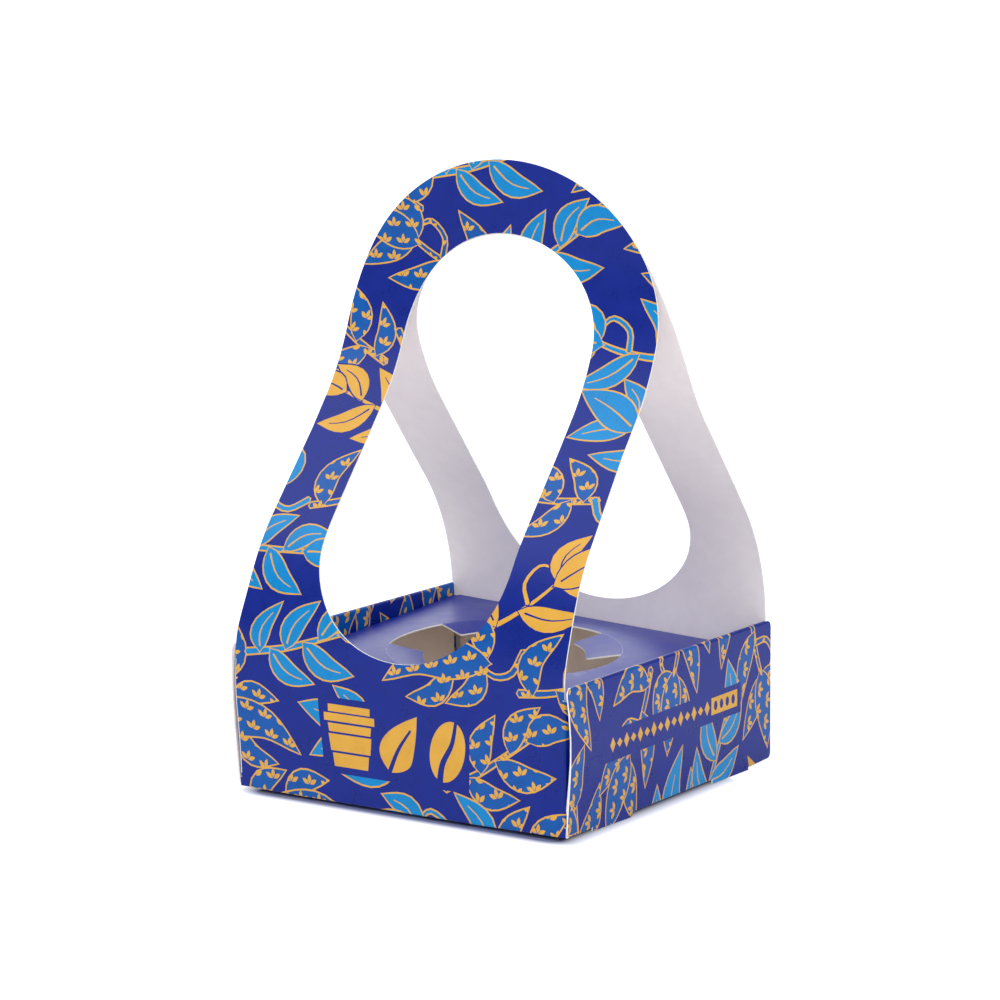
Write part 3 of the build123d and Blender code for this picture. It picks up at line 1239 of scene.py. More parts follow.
    def side_edge(self) -> list[Point]:
        """Draw the right side wall's rear edge and half of its end on the blank.

        Returns:
            Points of the edge, from the base out to the locking tab.
        """
        corner = self.wall_corner
        straight = self.half_depth - corner
        base = self.half_width - self.crease
        turns = np.radians((0, 15, 30, 45, 60, 75))
        heights = self.underside + self.crease * (1 - np.cos(turns))
        alongs = base + self.crease * turns
        leaf = self.leaf_start
        more = np.array(self.corner_heights) - self.underside - self.crease
        heights = np.append(heights, self.underside + self.crease + more)
        alongs = np.append(alongs, leaf + more)
        low = self.underside + corner
        out = straight + np.sqrt(np.maximum(corner**2 - (low - heights) ** 2, 0))
        edge = [(base, straight + self.corner_relief), *zip(alongs, out)]
        edge.append((leaf + low - self.underside - self.crease, self.half_depth))
        high = self.wall_top - corner
        roll_start = leaf + self.wall_height - self.crease - self.roll
        edge.append((roll_start - (self.wall_top - self.roll - high), self.half_depth))
        for turn in (0.0, 30.0, 60.0):
            height = self.wall_top - self.roll + self.roll * math.sin(math.radians(turn))
            along = roll_start + self.roll * math.radians(turn)
            edge.append((along, straight + math.sqrt(max(corner**2 - (height - high) ** 2, 0))))
        end = roll_start + self.roll * math.pi + self.inner_leaf
        foot_end = self.roll_end + self.inner_leaf * math.tan(math.radians(self.lean))
        edge.append((edge[-1][0], self.roll_end))
        bevel = self.leaf_bevel
        edge += [(end - self.inner_leaf, self.roll_end), (end - bevel, foot_end), (end, foot_end - bevel)]
        near, far = self.foot_middle - self.tab_half, self.foot_middle + self.tab_half
        tab, bevel = end + self.tab_length, self.tab_bevel
        edge += [(end, far), (tab, far - bevel), (tab, near + bevel), (end, near)]
        return edge

    def outline(self) -> np.ndarray:
        """Draw the outline of the whole blank.

        Returns:
            The outline's points.
        """
        side = self.side_edge()
        front = self.panel_edge(self.front, self.panel_strip(self.front))
        rear = self.panel_edge(self.rear, self.panel_strip(self.rear))
        right = [*reversed(front), *((x, -y) for x, y in side), *reversed(side), *rear]
        left = [(-x, y) for x, y in reversed(right) if x > 1e-6]
        return np.array(right + left)

    def foot_slits(self) -> list[np.ndarray]:
        """Draw the slits round the four feet, each with the slot that its foot leaves.

        Returns:
            The outline of each cut-out.
        """
        leaf = self.leaf_start
        foot_end = leaf - self.underside - self.crease
        half, gap = self.foot_half, self.foot_half + self.slit
        course = (
            (self.slot_inner, -gap),
            (leaf, -gap),
            (leaf, -half),
            (foot_end, -half),
            (foot_end, half),
            (leaf, half),
            (leaf, gap),
            (self.slot_inner, gap),
        )
        slits = []
        for side in (-1, 1):
            for middle in (-self.foot_middle, self.foot_middle):
                slits.append(np.array([(side * x, middle + y) for x, y in course]))
        return slits

    def guides(self) -> list[tuple[Point, Point]]:
        """Draw the lines along which the blank is divided, closest where it bends.

        Returns:
            Both ends of each line.
        """
        lines = []
        start = self.panel_start
        for panel in (self.front, self.rear):
            strip = self.panel_strip(panel)
            marks = strip.starts()
            stations = divided(marks, self.panel_parts)
            stations += [marks[5] + k * self.top_pitch for k in range(8)]
            for s in stations:
                y = panel.direction * (start + s)
                lines.append(((-self.guide_across, y), (self.guide_across, y)))
            low, high = self.flap_range(strip)
            low, high = panel.direction * (start + low), panel.direction * (start + high)
            for k in range(5):
                x = self.panel_half - self.flap_crease * (1 - k * math.pi / 8)
                lines += [((side * x, low), (side * x, high)) for side in (-1, 1)]
        for x in range(-60, 61, 15):
            lines.append(((float(x), -self.guide_up), (float(x), self.guide_up)))
        for side in (-1.0, 1.0):
            for x in (self.sag_from[0], self.sag_from[0] + self.sag_reach):
                lines.append(((side * x, -start), (side * x, start)))
            for y in (self.sag_from[1], self.sag_from[1] + self.sag_reach):
                lines.append(((-self.guide_base, side * y), (self.guide_base, side * y)))
        deep = self.guide_deep
        for s in divided(self.side_strip().starts()[1:], self.side_parts):
            lines += [((side * s, -deep), (side * s, deep)) for side in (-1.0, 1.0)]
        for y in range(-60, 61, 12):
            for side in (-1.0, 1.0):
                lines.append(((side * self.guide_base, float(y)), (side * self.guide_out, float(y))))
        return lines

    def fold(self, flat: np.ndarray, panel_of: np.ndarray) -> np.ndarray:
        """Fold points of the blank into place.

        Args:
            flat: Points on the blank.
            panel_of: The points whose panel each of them belongs to.

        Returns:
            Where the printed face lies.
        """
        wide, deep = np.abs(panel_of[:, 0]), np.abs(panel_of[:, 1])
        start = self.panel_start
        panels = (deep > start - 0.01) & (wide < self.panel_within)
        panels |= deep > self.panel_beyond
        feet = (wide > self.slot_inner + self.slit) & (wide < self.leaf_start - 0.001)
        feet &= np.abs(deep - self.foot_middle) < self.foot_half + self.slit / 2
        folded = np.zeros((len(flat), 3))
        for panel in (self.front, self.rear):
            here = panels & (panel_of[:, 1] * panel.direction > 0)
            folded[here] = self.fold_panel(flat[here], panel_of[here], panel)
        here = ~panels & ~feet
        folded[here] = self.fold_side(flat[here])
        folded[:, 2] -= self.settle(folded)
        folded[feet] = self.fold_feet(flat[feet])
        return folded

    def fold_feet(self, flat: np.ndarray) -> np.ndarray:
        """Fold points of the feet.

        Args:
            flat: Points on the blank.

        Returns:
            Where the printed face lies.
        """
        full = self.underside + self.crease
        share = (np.abs(flat[:, 0]) - self.leaf_start + full) / full
        side = np.sign(flat[:, 0])
        top = np.column_stack((side * self.half_width, flat[:, 1], np.full(len(flat), full)))
        top[:, 2] -= self.settle(top)
        end = np.interp(flat[:, 1], self.foot_at, self.foot_lift)
        place = np.column_stack((top[:, 0], top[:, 1], end + (top[:, 2] - end) * share))
        place[:, 0] += self.side_drift(place)
        return place

    def settle(self, place: np.ndarray) -> np.ndarray:
        """Return how far the base crease and the foot of the walls hang lower at some points.

        Args:
            place: Points where they would be on a perfectly square tray.

        Returns:
            Lengths, down.
        """
        across, deep = np.abs(place[:, 0]), np.abs(place[:, 1])
        near_side = np.clip((across - self.sag_from[0]) / self.sag_reach, 0.0, 1.0)
        near_front = np.clip((deep - self.sag_from[1]) / self.sag_reach, 0.0, 1.0)
        side = np.interp(place[:, 1], self.settle_at, self.settle_by) * near_side
        front = np.interp(place[:, 0], self.front_at, self.front_by) * near_front
        low = np.clip(1 - (place[:, 2] - self.underside) / self.settle_height, 0.0, 1.0)
        return np.maximum(side, front) * low

    def fold_panel(self, flat: np.ndarray, panel_of: np.ndarray, panel: HandlePanel) -> np.ndarray:
        """Fold points of a wall, its handle and its corner flaps.

        Args:
            flat: Points on the blank.
            panel_of: The points whose panel each of them belongs to.
            panel: The front or the rear panel.

        Returns:
            Where the printed face lies.
        """
        strip = self.panel_strip(panel)
        start = self.panel_start
        along = panel.direction * flat[:, 1] - start
        own = panel.direction * panel_of[:, 1] - start
        out, height, heading = strip.place(along)
        low, high = self.flap_range(strip)
        hinge = self.panel_half - self.flap_crease
        beyond = np.where((own > low) & (own < high), np.abs(flat[:, 0]) - hinge, 0.0)
        beyond = np.maximum(beyond, 0.0)
        angle = np.minimum(beyond / self.flap_crease, math.pi / 2)
        rest = beyond - angle * self.flap_crease
        side = np.sign(flat[:, 0])
        across = np.where(beyond > 0, hinge + self.flap_crease * np.sin(angle), np.abs(flat[:, 0])) * side
        depth = self.flap_crease * (1 - np.cos(angle)) + rest
        out = out - depth * np.sin(heading)
        height = height + depth * np.cos(heading)
        place = np.column_stack((across, panel.direction * out, height))
        if panel is self.front:
            place += self.front_drift(place, depth)
        flap = np.clip((rest - self.flap_follow) / self.flap_fade, 0.0, 1.0)
        place[:, 0] += self.side_drift(place) * flap
        return place

    def fold_side(self, flat: np.ndarray) -> np.ndarray:
        """Fold points of the base and the side walls.

        Args:
            flat: Points on the blank.

        Returns:
            Where the printed face lies.
        """
        out, height, _ = self.side_strip().place(np.abs(flat[:, 0]))
        place = np.column_stack((np.sign(flat[:, 0]) * out, flat[:, 1], height))
        place[:, 0] += self.side_drift(place)
        return place

    def side_drift(self, place: np.ndarray) -> np.ndarray:
        """Return how far the side walls have settled sideways at some points.

        Args:
            place: Points where they would be on a perfectly square tray.

        Returns:
            Shifts along X: the left wall splays and the right wall bows, most at the front.
        """
        rise = np.clip((place[:, 2] - self.underside) / self.wall_height, 0.0, 1.0)
        front = np.clip(0.5 - place[:, 1] / (2 * self.half_depth), 0.0, 1.0)
        near = np.clip((np.abs(place[:, 0]) - self.side_from) / self.side_fade, 0.0, 1.0)
        left = -self.left_splay * np.sin(self.open_wave * rise) * front
        right = self.right_bow * np.sin(math.pi * rise**self.bow_power) * front**2
        return np.where(place[:, 0] < 0, left, right) * near

    def front_drift(self, place: np.ndarray, depth: np.ndarray) -> np.ndarray:
        """Return how far the front wall and its handle have settled at some points.

        Args:
            place: Points where they would be on a perfectly square tray.
            depth: How far they lie behind the wall, on a corner flap.

        Returns:
            Shifts along X, Y and Z.
        """
        rise = np.clip((place[:, 2] - self.underside) / self.wall_height, 0.0, 1.0)
        above = np.maximum(place[:, 2] - self.wall_top, 0.0) / self.drift_reach
        share = np.clip((place[:, 0] / self.panel_half + 1) / 2, 0.0, 1.0)
        fading = np.exp(-(above**2))
        left = self.left_drift * np.sin(self.open_wave * rise) ** 3
        right = self.top_drift * rise**3 + self.right_tuck * np.sin(math.pi * rise**self.tuck_power)
        drift = -((1 - share) * left + share * right) * fading
        drift = drift * (1 - np.clip(depth / self.flap_fade, 0.0, 1.0))
        recess = self.edge_recess * np.sin(math.pi * rise) * np.clip(share * 2 - 1, 0.0, 1.0) ** 2
        inner = 1 - np.clip((np.abs(place[:, 0]) - self.leg_from) / self.leg_fade, 0.0, 1.0)
        bulge = self.left_bulge * np.sin(self.bulge_wave * rise) * fading
        recess -= bulge * np.clip(1 - share * 2, 0.0, 1.0) ** 2
        curl = self.leg_curl * np.exp(-(((place[:, 2] - self.curl_height) / self.curl_reach) ** 2))
        return np.column_stack((drift, recess - curl * inner, np.zeros(len(place))))

    def reaches(self, x: float, y: float) -> bool:
        """Find whether a motif centred at a point of the blank would show on it.

        Args:
            x: How far right of the blank's middle the point is.
            y: How far behind it the point is.

        Returns:
            True if it would.
        """
        reach = self.motif_reach
        on_panels = abs(x) < self.half_width + reach and abs(y) < self.blank_up + reach
        return on_panels or (abs(x) < self.blank_out + reach and abs(y) < self.half_depth + reach)

    def print_patches(self) -> list[Patch]:
        """Draw all that is printed on the blank.

        Returns:
            The printed shapes, in the order of printing.
        """
        patches = LeafPattern().patches(self.reaches)
        emblems = WallEmblems()
        wall = self.panel_strip(self.front)
        start = self.panel_start
        for outline, ink in emblems.front():
            along = wall.along_at(outline[:, 1], WALL_SEARCH)
            patches.append(Patch(np.column_stack((outline[:, 0], -start - along)), ink))
        # A bare pale line runs along the left front corner's crease
        ends = np.array((self.flap_low + 1, self.flap_high - 1))
        low, high = -start - wall.along_at(ends, WALL_SEARCH)
        inner = self.flap_crease - self.panel_half
        outer = inner - self.pale_line_width
        pale_line = np.array(((inner, low), (inner, high), (outer, high), (outer, low)))
        patches.append(Patch(pale_line, Ink.RAW_EDGE))
        leaf = self.leaf_start
        for outline, ink in emblems.side():
            out = leaf + outline[:, 1] - self.underside - self.crease
            patches.append(Patch(np.column_stack((out, outline[:, 0])), ink))
        return patches

    def build(self, materials: list[bpy.types.Material]) -> bpy.types.Object:
        """Build the folded and printed sheet.

        Args:
            materials: One for each ink, in slot order.

        Returns:
            The sheet, riding on its CAD body.
        """
        holes = [self.panel_hole(panel, self.panel_strip(panel)) for panel in (self.front, self.rear)]
        sheet = FlatSheet(self.outline(), holes + self.foot_slits(), self.print_patches(), self.guides())
        folded = FoldedBoard("printed_carrier_sheet", self.board, False)
        piece = folded.build(sheet, self.fold, materials)
        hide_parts("carrier_sheet")
        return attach(piece, "root")


# The cup insert


@dataclass(frozen=True)
class CupFlap:
    """A holding flap of the cup hole."""

    angle: float
    droop: float


@dataclass(frozen=True)
class CupInsert:
    """The insert: a deck with a cup hole and four flaps, on four flanges. Heights above ground."""

    board: float = 0.6
    crease: float = 1.0
    half_x: float = 72.5
    half_y: float = 70.0
    notch: float = 2.4
    flange: float = 44.0
    corner_cut: float = 1.5
    flange_foot: float = 2.7
    # Heights of the deck's corners and how far its middle stands above them
    rear_left: float = 52.3
    rear_right: float = 45.8
    front_left: float = 46.1
    front_right: float = 45.2
    bulge: float = 4.7
    hole_middle: Point = (0.6, -2.7)
    hole_radius: float = 45.6
    flap_length: float = 14.3
    flap_root_half: float = 21.8
    flap_tip_half: float = 21.8
    flap_corner: float = 1.5
    flap_crease: float = 1.2
    # Arcs that divide a flap, by how far they lie inside its crease, and half their angle
    flap_guides: tuple[float, ...] = (0.0, 0.3, 0.6, 0.9, 1.2, 4.5, 8.0, 11.5)
    guide_half: float = 21.5
    # How far round from a flap's middle its droop holds, which is past its sides
    droop_reach: float = 30.0
    # How far the worn line reaches outside and inside the crease
    scuff_outside: float = 0.12
    scuff_inside: float = 0.2
    flaps: tuple[CupFlap, ...] = (
        CupFlap(45.0, 9.0),
        CupFlap(135.0, 8.0),
        CupFlap(225.0, 12.0),
        CupFlap(315.0, 12.0),
    )

    def outline(self) -> np.ndarray:
        """Draw the insert's cross-shaped outline, laid flat with its print up.

        Returns:
            The outline's points.
        """
        drop = self.crease * math.pi / 2 + self.flange
        far_x = self.half_x - self.crease + drop
        far_y = self.half_y - self.crease + drop
        in_x, in_y = self.half_x - self.notch, self.half_y - self.notch
        cut = self.corner_cut
        quarter = [(far_x, 0.0), (far_x, in_y - cut), (far_x - cut, in_y), (in_x, in_y)]
        quarter += [(in_x, far_y - cut), (in_x - cut, far_y), (0.0, far_y)]
        half = quarter + [(-x, y) for x, y in reversed(quarter[:-1])]
        return np.array(half + [(x, -y) for x, y in reversed(half[1:-1])])

    def flap_outline(self, flap: CupFlap) -> list[Point]:
        """Return a flap's edge from one end of its crease to the other.

        Args:
            flap: The flap.

        Returns:
            Points on the flat sheet, in the sense in which the angle grows.
        """
        tip_radius = self.hole_radius - self.flap_length
        root = math.radians(self.flap_root_half)
        tip = math.radians(self.flap_tip_half)
        first = np.array((math.cos(root), -math.sin(root))) * self.hole_radius
        corner = np.array((math.cos(tip), -math.sin(tip))) * tip_radius
        side = (corner - first) / np.linalg.norm(corner - first)
        before = corner - side * self.flap_corner
        inset = tip - self.flap_corner / tip_radius
        after = np.array((math.cos(inset), -math.sin(inset))) * tip_radius
        rounded = [before * (1 - t) ** 2 + corner * 2 * t * (1 - t) + after * t**2 for t in (0.25, 0.5, 0.75)]
        arc = [np.array((math.cos(a), math.sin(a))) * tip_radius for a in np.linspace(-inset, inset, 9)]
        mirrored = [p * (1, -1) for p in (*reversed(rounded), before, first)]
        course = [first, before, *rounded, *arc, *mirrored]
        turn = math.radians(flap.angle)
        c, s = math.cos(turn), math.sin(turn)
        middle_x, middle_y = self.hole_middle
        return [(middle_x + c * x - s * y, middle_y + s * x + c * y) for x, y in course]

    def ring(self, radius: float, first: float, last: float, steps: int) -> list[Point]:
        """Draw an arc round the middle of the cup hole.

        Args:
            radius: The arc's radius.
            first: The angle at which it starts.
            last: The angle at which it ends.
            steps: How many points it gets.

        Returns:
            The arc's points.
        """
        turns = np.radians(np.linspace(first, last, steps))
        middle_x, middle_y = self.hole_middle
        return [(middle_x + radius * math.cos(a), middle_y + radius * math.sin(a)) for a in turns]

    def hole(self) -> np.ndarray:
        """Draw the cup hole, with the four flaps standing into it.

        Returns:
            The hole's outline.
        """
        course: list[Point] = []
        for k, flap in enumerate(self.flaps):
            course += self.flap_outline(flap)
            after = self.flaps[(k + 1) % len(self.flaps)].angle + 360.0 * (k + 1 == len(self.flaps))
            first, last = flap.angle + self.flap_root_half, after - self.flap_root_half
            course += self.ring(self.hole_radius, first, last, 18)[1:-1]
        return np.array(course)

    def guides(self) -> list[tuple[Point, Point]]:
        """Draw the lines along which the insert is divided, closest where it bends.

        Returns:
            Both ends of each line.
        """
        lines = []
        turned = self.crease * math.pi / 2
        for half, other, swap in ((self.half_x, self.half_y, False), (self.half_y, self.half_x, True)):
            stations = [half - self.crease + turned * k / 6 for k in range(7)]
            stations += [half - self.crease + turned + k * 11.0 for k in range(1, 4)]
            stations += [float(k) for k in range(0, int(half) - 4, 8)]
            for s in stations:
                limit = other - self.notch + (self.flange if s < half - 3 else 0.0)
                for side in (-1, 1):
                    a, b = (side * s, -limit), (side * s, limit)
                    lines.append((a[::-1], b[::-1]) if swap else (a, b))
        for flap in self.flaps:
            for inset in self.flap_guides:
                first, last = flap.angle - self.guide_half, flap.angle + self.guide_half
                ring = self.ring(self.hole_radius - inset, first, last, 14)
                lines += list(zip(ring[:-1], ring[1:]))
        return lines

    def height(self, x: np.ndarray, y: np.ndarray) -> np.ndarray:
        """Find the height of the deck's upper face.

        Args:
            x: Places across.
            y: Places from front to rear.

        Returns:
            The heights there.
        """
        u = np.clip(x / (self.half_x - self.crease), -1, 1)
        v = np.clip(y / (self.half_y - self.crease), -1, 1)
        left = self.front_left * (1 - v) / 2 + self.rear_left * (1 + v) / 2
        right = self.front_right * (1 - v) / 2 + self.rear_right * (1 + v) / 2
        pillow = self.bulge * (1 - np.abs(u) ** 3) * (1 - np.abs(v) ** 3)
        return left * (1 - u) / 2 + right * (1 + u) / 2 + pillow

    def fold(self, flat: np.ndarray, panel_of: np.ndarray) -> np.ndarray:
        """Fold points of the flat insert into place.

        Args:
            flat: Points on the flat sheet.
            panel_of: The points whose panel each of them belongs to.

        Returns:
            Where the printed face lies.
        """
        x, y = flat[:, 0].copy(), flat[:, 1].copy()
        height = self.height(x, y)
        for axis, half in ((0, self.half_x), (1, self.half_y)):
            edge = half - self.crease
            beyond = np.abs(panel_of[:, axis]) > edge
            past = np.maximum(np.abs(flat[beyond, axis]) - edge, 0.0)
            angle = np.minimum(past / self.crease, math.pi / 2)
            rest = past - angle * self.crease
            moved = np.sign(flat[beyond, axis]) * (edge + self.crease * np.sin(angle))
            (x if axis == 0 else y)[beyond] = moved
            top = height[beyond] - self.crease
            run = np.clip(rest / self.flange, 0.0, 1.0)
            height[beyond] = top + self.crease * np.cos(angle) - (top - self.flange_foot) * run
        own = panel_of - self.hole_middle
        inside = np.hypot(own[:, 0], own[:, 1]) < self.hole_radius
        bearing = np.degrees(np.arctan2(own[inside, 1], own[inside, 0])) % 360
        droop = np.zeros(len(bearing))
        for flap in self.flaps:
            near = np.abs((bearing - flap.angle + 180) % 360 - 180) < self.droop_reach
            droop[near] = math.radians(flap.droop)
        arm = flat[inside] - self.hole_middle
        ring = np.maximum(np.hypot(arm[:, 0], arm[:, 1]), 1e-6)
        past = np.maximum(self.hole_radius - ring, 0.0)
        level = self.flap_crease * np.clip(past / self.flap_crease, 0.0, 1.0) / 2
        bent = past - level
        reach = np.where(past > 0, (self.hole_radius - level - bent * np.cos(droop)) / ring, 1.0)
        rim = arm * (self.hole_radius / ring)[:, None] + self.hole_middle
        x[inside], y[inside] = (arm * reach[:, None] + self.hole_middle).T
        height[inside] = self.height(rim[:, 0], rim[:, 1]) - bent * np.sin(droop)
        return np.column_stack((x, y, height))

    def scuffs(self) -> list[Patch]:
        """Draw the worn lines where the flaps' curved creases were scored.

        Returns:
            One printed shape for each flap.
        """
        patches = []
        for flap in self.flaps:
            first, last = flap.angle - self.flap_root_half + 1, flap.angle + self.flap_root_half - 1
            outer = self.ring(self.hole_radius + self.scuff_outside, first, last, 14)
            inner = self.ring(self.hole_radius - self.scuff_inside, last, first, 14)
            patches.append(Patch(np.array(outer + inner), Ink.SCUFF))
        return patches

    def build(self, materials: list[bpy.types.Material]) -> bpy.types.Object:
        """Build the folded insert.

        Args:
            materials: One for each ink, in slot order.

        Returns:
            The insert, riding on its CAD body.
        """
        sheet = FlatSheet(self.outline(), [self.hole()], self.scuffs(), self.guides())
        folded = FoldedBoard("folded_cup_insert", self.board, True)
        piece = folded.build(sheet, self.fold, materials)
        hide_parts("cup_insert")
        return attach(piece, "root")


# The studio


@dataclass(frozen=True)
class Softbox:
    """A square area lamp that looks at the object and is out of the picture."""

    name: str
    azimuth: float
    elevation: float
    distance_m: float
    size_m: float
    watts: float


@dataclass(frozen=True)
class Studio:
    """A pale floor with a painted shadow under the tray, soft light from all round and the photograph's
    camera.
    """

    floor_half_m: float = 12.0
    floor_white: str = "#F7F7F8"
    # The camera sees a darker, bluish floor with a glow that lifts it to white beside the tray: a painted
    # shadow on top of the real one. The glow grows with the distance from a box with rounded corners, which
    # lies under the tray, so the painted shadow is darkest there.
    painted_shadow_colour: str = "#7A80A4"
    lift_under: float = 0.0
    lift_beside: float = 0.9
    lift_far: float = 0.3
    lift_start: float = 0.4
    lift_ends: float = 30.0
    lift_reach_m: Triple = (0.015, 0.007, 1.0)
    painted_shadow_middle_m: Triple = (0.0021, -0.0167, 0.0)
    painted_shadow_half_m: Triple = (0.0626, 0.055, 1.0)
    ambient: float = 0.64
    # The white backdrop reaches this far to both sides, in degrees; a dim room is beside it
    backdrop_reach: float = 38.0
    backdrop_ends: float = 64.0
    room: float = 0.3
    azimuth: float = 34.089
    elevation: float = 10.013
    roll: float = -0.414
    distance: float = 1512.0
    focal_px: float = 3895.3
    image_px: float = 1000.0
    aim_right: float = -3.119
    aim_up: float = 104.893
    base_height: float = 2.0
    sensor: float = 36.0
    lamp_aim_m: float = 0.08
    lamps: tuple[Softbox, ...] = (
        Softbox("key_softbox", 52.0, 30.0, 1.8, 1.2, 11.0),
        Softbox("upper_left_softbox", -56.0, 49.0, 1.8, 1.2, 7.3),
        Softbox("overhead_softbox", 0.0, 85.0, 1.6, 1.2, 4.0),
        Softbox("backdrop_softbox", 214.0, 18.0, 1.8, 1.5, 6.3),
    )

    def floor(self) -> bpy.types.Object:
        """Lay the pale floor, which shows white to the camera away from the tray and keeps the real shadow,
        with a painted shadow added under and beside the tray.

        Returns:
            The floor.
        """
        half = self.floor_half_m
        mesh = bpy.data.meshes.new("studio_floor")
        corners = [(-half, -half, 0), (half, -half, 0), (half, half, 0), (-half, half, 0)]
        mesh.from_pydata(corners, [], [(0, 1, 2, 3)])
        material = empty_material("matt_white_floor_with_painted_shadow")
        tree = material.node_tree
        rays = add_node(tree, "ShaderNodeLightPath")
        seen = rays.outputs["Is Camera Ray"]
        # The camera sees the painted shadow's bluish colour, all other rays see a white floor
        tone = add_node(
            tree,
            "ShaderNodeMix",
            {"data_type": "RGBA"},
            {0: seen, 6: to_linear(self.floor_white), 7: to_linear(self.painted_shadow_colour)},
        )
        matt = add_node(tree, "ShaderNodeBsdfDiffuse", {}, {"Color": tone.outputs[2]})
        place = add_node(tree, "ShaderNodeTexCoord").outputs["Object"]
        # How far a place lies outside the painted shadow's box with rounded corners, in lengths of the lift's
        # reach
        steps = (
            ("SUBTRACT", self.painted_shadow_middle_m),
            ("ABSOLUTE", None),
            ("SUBTRACT", self.painted_shadow_half_m),
            ("MAXIMUM", (0.0, 0.0, 0.0)),
            ("DIVIDE", self.lift_reach_m),
            ("LENGTH", None),
        )
        for operation, by in steps:
            inputs = {0: place} if by is None else {0: place, 1: by}
            node = add_node(tree, "ShaderNodeVectorMath", {"operation": operation}, inputs)
            place = node.outputs["Value" if operation == "LENGTH" else "Vector"]
        near = add_node(
            tree,
            "ShaderNodeMapRange",
            {},
            {
                "Value": place,
                "From Min": self.lift_start,
                "To Min": self.lift_under,
                "To Max": self.lift_beside,
            },
        )
        far = add_node(
            tree,
            "ShaderNodeMapRange",
            {},
            {"Value": place, "From Min": 1.0, "From Max": self.lift_ends, "To Max": self.lift_far},
        )
        level = add_node(
            tree, "ShaderNodeMath", {"operation": "ADD"}, {0: near.outputs[0], 1: far.outputs[0]}
        )
        lift = add_node(tree, "ShaderNodeMath", {"operation": "MULTIPLY"}, {0: seen, 1: level.outputs[0]})
        glow = add_node(
            tree, "ShaderNodeEmission", {}, {"Color": to_linear("#FFFFFF"), "Strength": lift.outputs[0]}
        )
        both = add_node(tree, "ShaderNodeAddShader", {}, {0: matt.outputs[0], 1: glow.outputs[0]})
        add_node(tree, "ShaderNodeOutputMaterial", {}, {"Surface": both.outputs[0]})
        mesh.materials.append(material)
        floor = bpy.data.objects.new("studio_floor", mesh)
        bpy.context.scene.collection.objects.link(floor)
        return floor

    def to_backdrop(self) -> Vector:
        """Return the level direction from the carrier to the backdrop, away from the camera."""
        a = math.radians(self.azimuth)
        return Vector((-math.sin(a), math.cos(a), 0))

    def surroundings(self) -> None:
        """Set the world: even soft light, and plain white where the backdrop is seen or mirrored."""
        world = bpy.data.worlds.new("white_surroundings")
        world.use_nodes = True
        tree = world.node_tree
        tree.nodes.clear()
        rays = add_node(tree, "ShaderNodeLightPath")
        aside = add_node(
            tree,
            "ShaderNodeVectorMath",
            {"operation": "DOT_PRODUCT"},
            {0: add_node(tree, "ShaderNodeTexCoord").outputs["Generated"], 1: self.to_backdrop()},
        )
        mirrored = add_node(
            tree,
            "ShaderNodeMapRange",
            {},
            {
                "Value": aside.outputs["Value"],
                "From Min": math.cos(math.radians(self.backdrop_ends)),
                "From Max": math.cos(math.radians(self.backdrop_reach)),
                "To Min": self.room,
                "To Max": 1.0,
            },
        )
        unseen = add_node(
            tree,
            "ShaderNodeMix",
            {"data_type": "FLOAT"},
            {0: rays.outputs["Is Glossy Ray"], 2: self.ambient, 3: mirrored.outputs[0]},
        )
        seen = add_node(
            tree,
            "ShaderNodeMath",
            {"operation": "MAXIMUM"},
            {0: rays.outputs["Is Camera Ray"], 1: rays.outputs["Is Transmission Ray"]},
        )
        strength = add_node(
            tree, "ShaderNodeMix", {"data_type": "FLOAT"}, {0: seen.outputs[0], 2: unseen.outputs[0], 3: 1.0}
        )
        light = add_node(
            tree,
            "ShaderNodeBackground",
            {},
            {"Color": to_linear("#FFFFFF"), "Strength": strength.outputs[0]},
        )
        add_node(tree, "ShaderNodeOutputWorld", {}, {"Surface": light.outputs[0]})
        bpy.context.scene.world = world

    def lamp(self, box: Softbox) -> bpy.types.Object:
        """Hang one softbox.

        Args:
            box: Where it hangs and how strong it is.

        Returns:
            The lamp.
        """
        a, e = math.radians(box.azimuth), math.radians(box.elevation)
        away = Vector((math.sin(a) * math.cos(e), -math.cos(a) * math.cos(e), math.sin(e)))
        data = bpy.data.lights.new(box.name, "AREA")
        data.shape = "SQUARE"
        data.size = box.size_m
        data.energy = box.watts
        lamp = bpy.data.objects.new(box.name, data)
        lamp.location = away * box.distance_m + Vector((0, 0, self.lamp_aim_m))
        lamp.visible_camera = False
        lamp.rotation_mode = "QUATERNION"
        lamp.rotation_quaternion = (-away).to_track_quat("-Z", "Y")
        bpy.context.scene.collection.objects.link(lamp)
        return lamp

    def camera(self) -> bpy.types.Object:
        """Set up the camera at the photograph's place and angle.

        Returns:
            The camera.
        """
        a, e, w = (math.radians(v) for v in (self.azimuth, self.elevation, self.roll))
        level = Vector((math.cos(a), math.sin(a), 0))
        ahead = Vector((-math.sin(a) * math.cos(e), math.cos(a) * math.cos(e), -math.sin(e)))
        top = level.cross(ahead)
        right = level * math.cos(w) + top * math.sin(w)
        up = top * math.cos(w) - level * math.sin(w)
        place = right * self.aim_right + up * self.aim_up - ahead * self.distance
        place = (place + Vector((0, 0, self.base_height))) * MM
        data = bpy.data.cameras.new("photograph_camera")
        data.sensor_width = self.sensor
        data.sensor_fit = "HORIZONTAL"
        data.lens = self.focal_px * self.sensor / self.image_px
        data.clip_start, data.clip_end = 0.05, 60.0
        camera = bpy.data.objects.new("photograph_camera", data)
        turn = Matrix((right, up, -ahead)).transposed().to_4x4()
        camera.matrix_world = Matrix.Translation(place) @ turn
        bpy.context.scene.collection.objects.link(camera)
        bpy.context.scene.camera = camera
        return camera

    def build(self) -> None:
        """Build the floor, the surroundings, the lamps and the camera."""
        self.floor()
        self.surroundings()
        for box in self.lamps:
            self.lamp(box)
        self.camera()
        bpy.context.scene.view_settings.view_transform = "Standard"


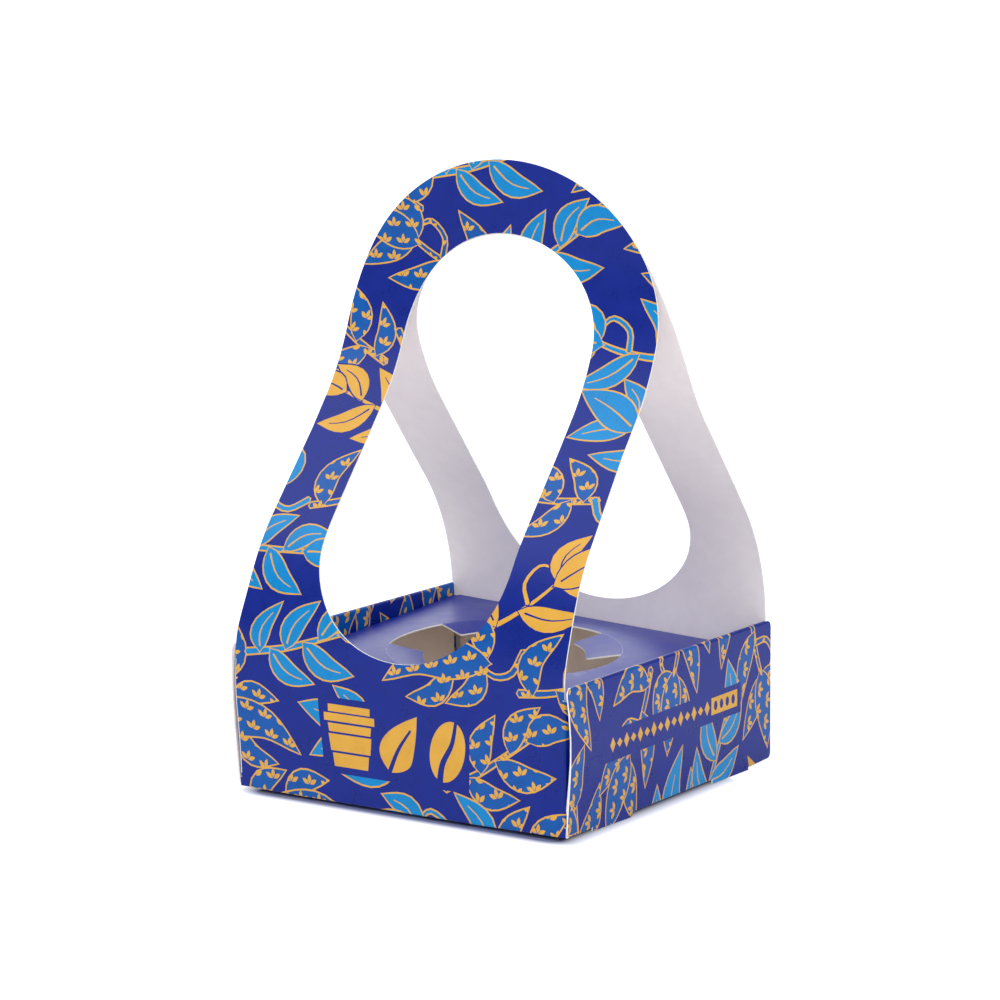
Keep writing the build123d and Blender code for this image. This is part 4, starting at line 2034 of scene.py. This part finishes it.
def main() -> None:
    """Build the carrier, the insert and the studio in order."""
    logging.basicConfig(level=logging.INFO, format="%(message)s")
    finishes = CarrierFinishes()
    shared = finishes.for_sheet()
    sheet = CarrierSheet().build(shared)
    LOG.info("%s: %d faces", sheet.name, len(sheet.data.polygons))
    insert = CupInsert().build(finishes.for_insert(shared))
    LOG.info("%s: %d faces", insert.name, len(insert.data.polygons))
    Studio().build()
    LOG.info("studio: %d lamps", len(Studio().lamps))


if __name__ == "__main__":
    main()
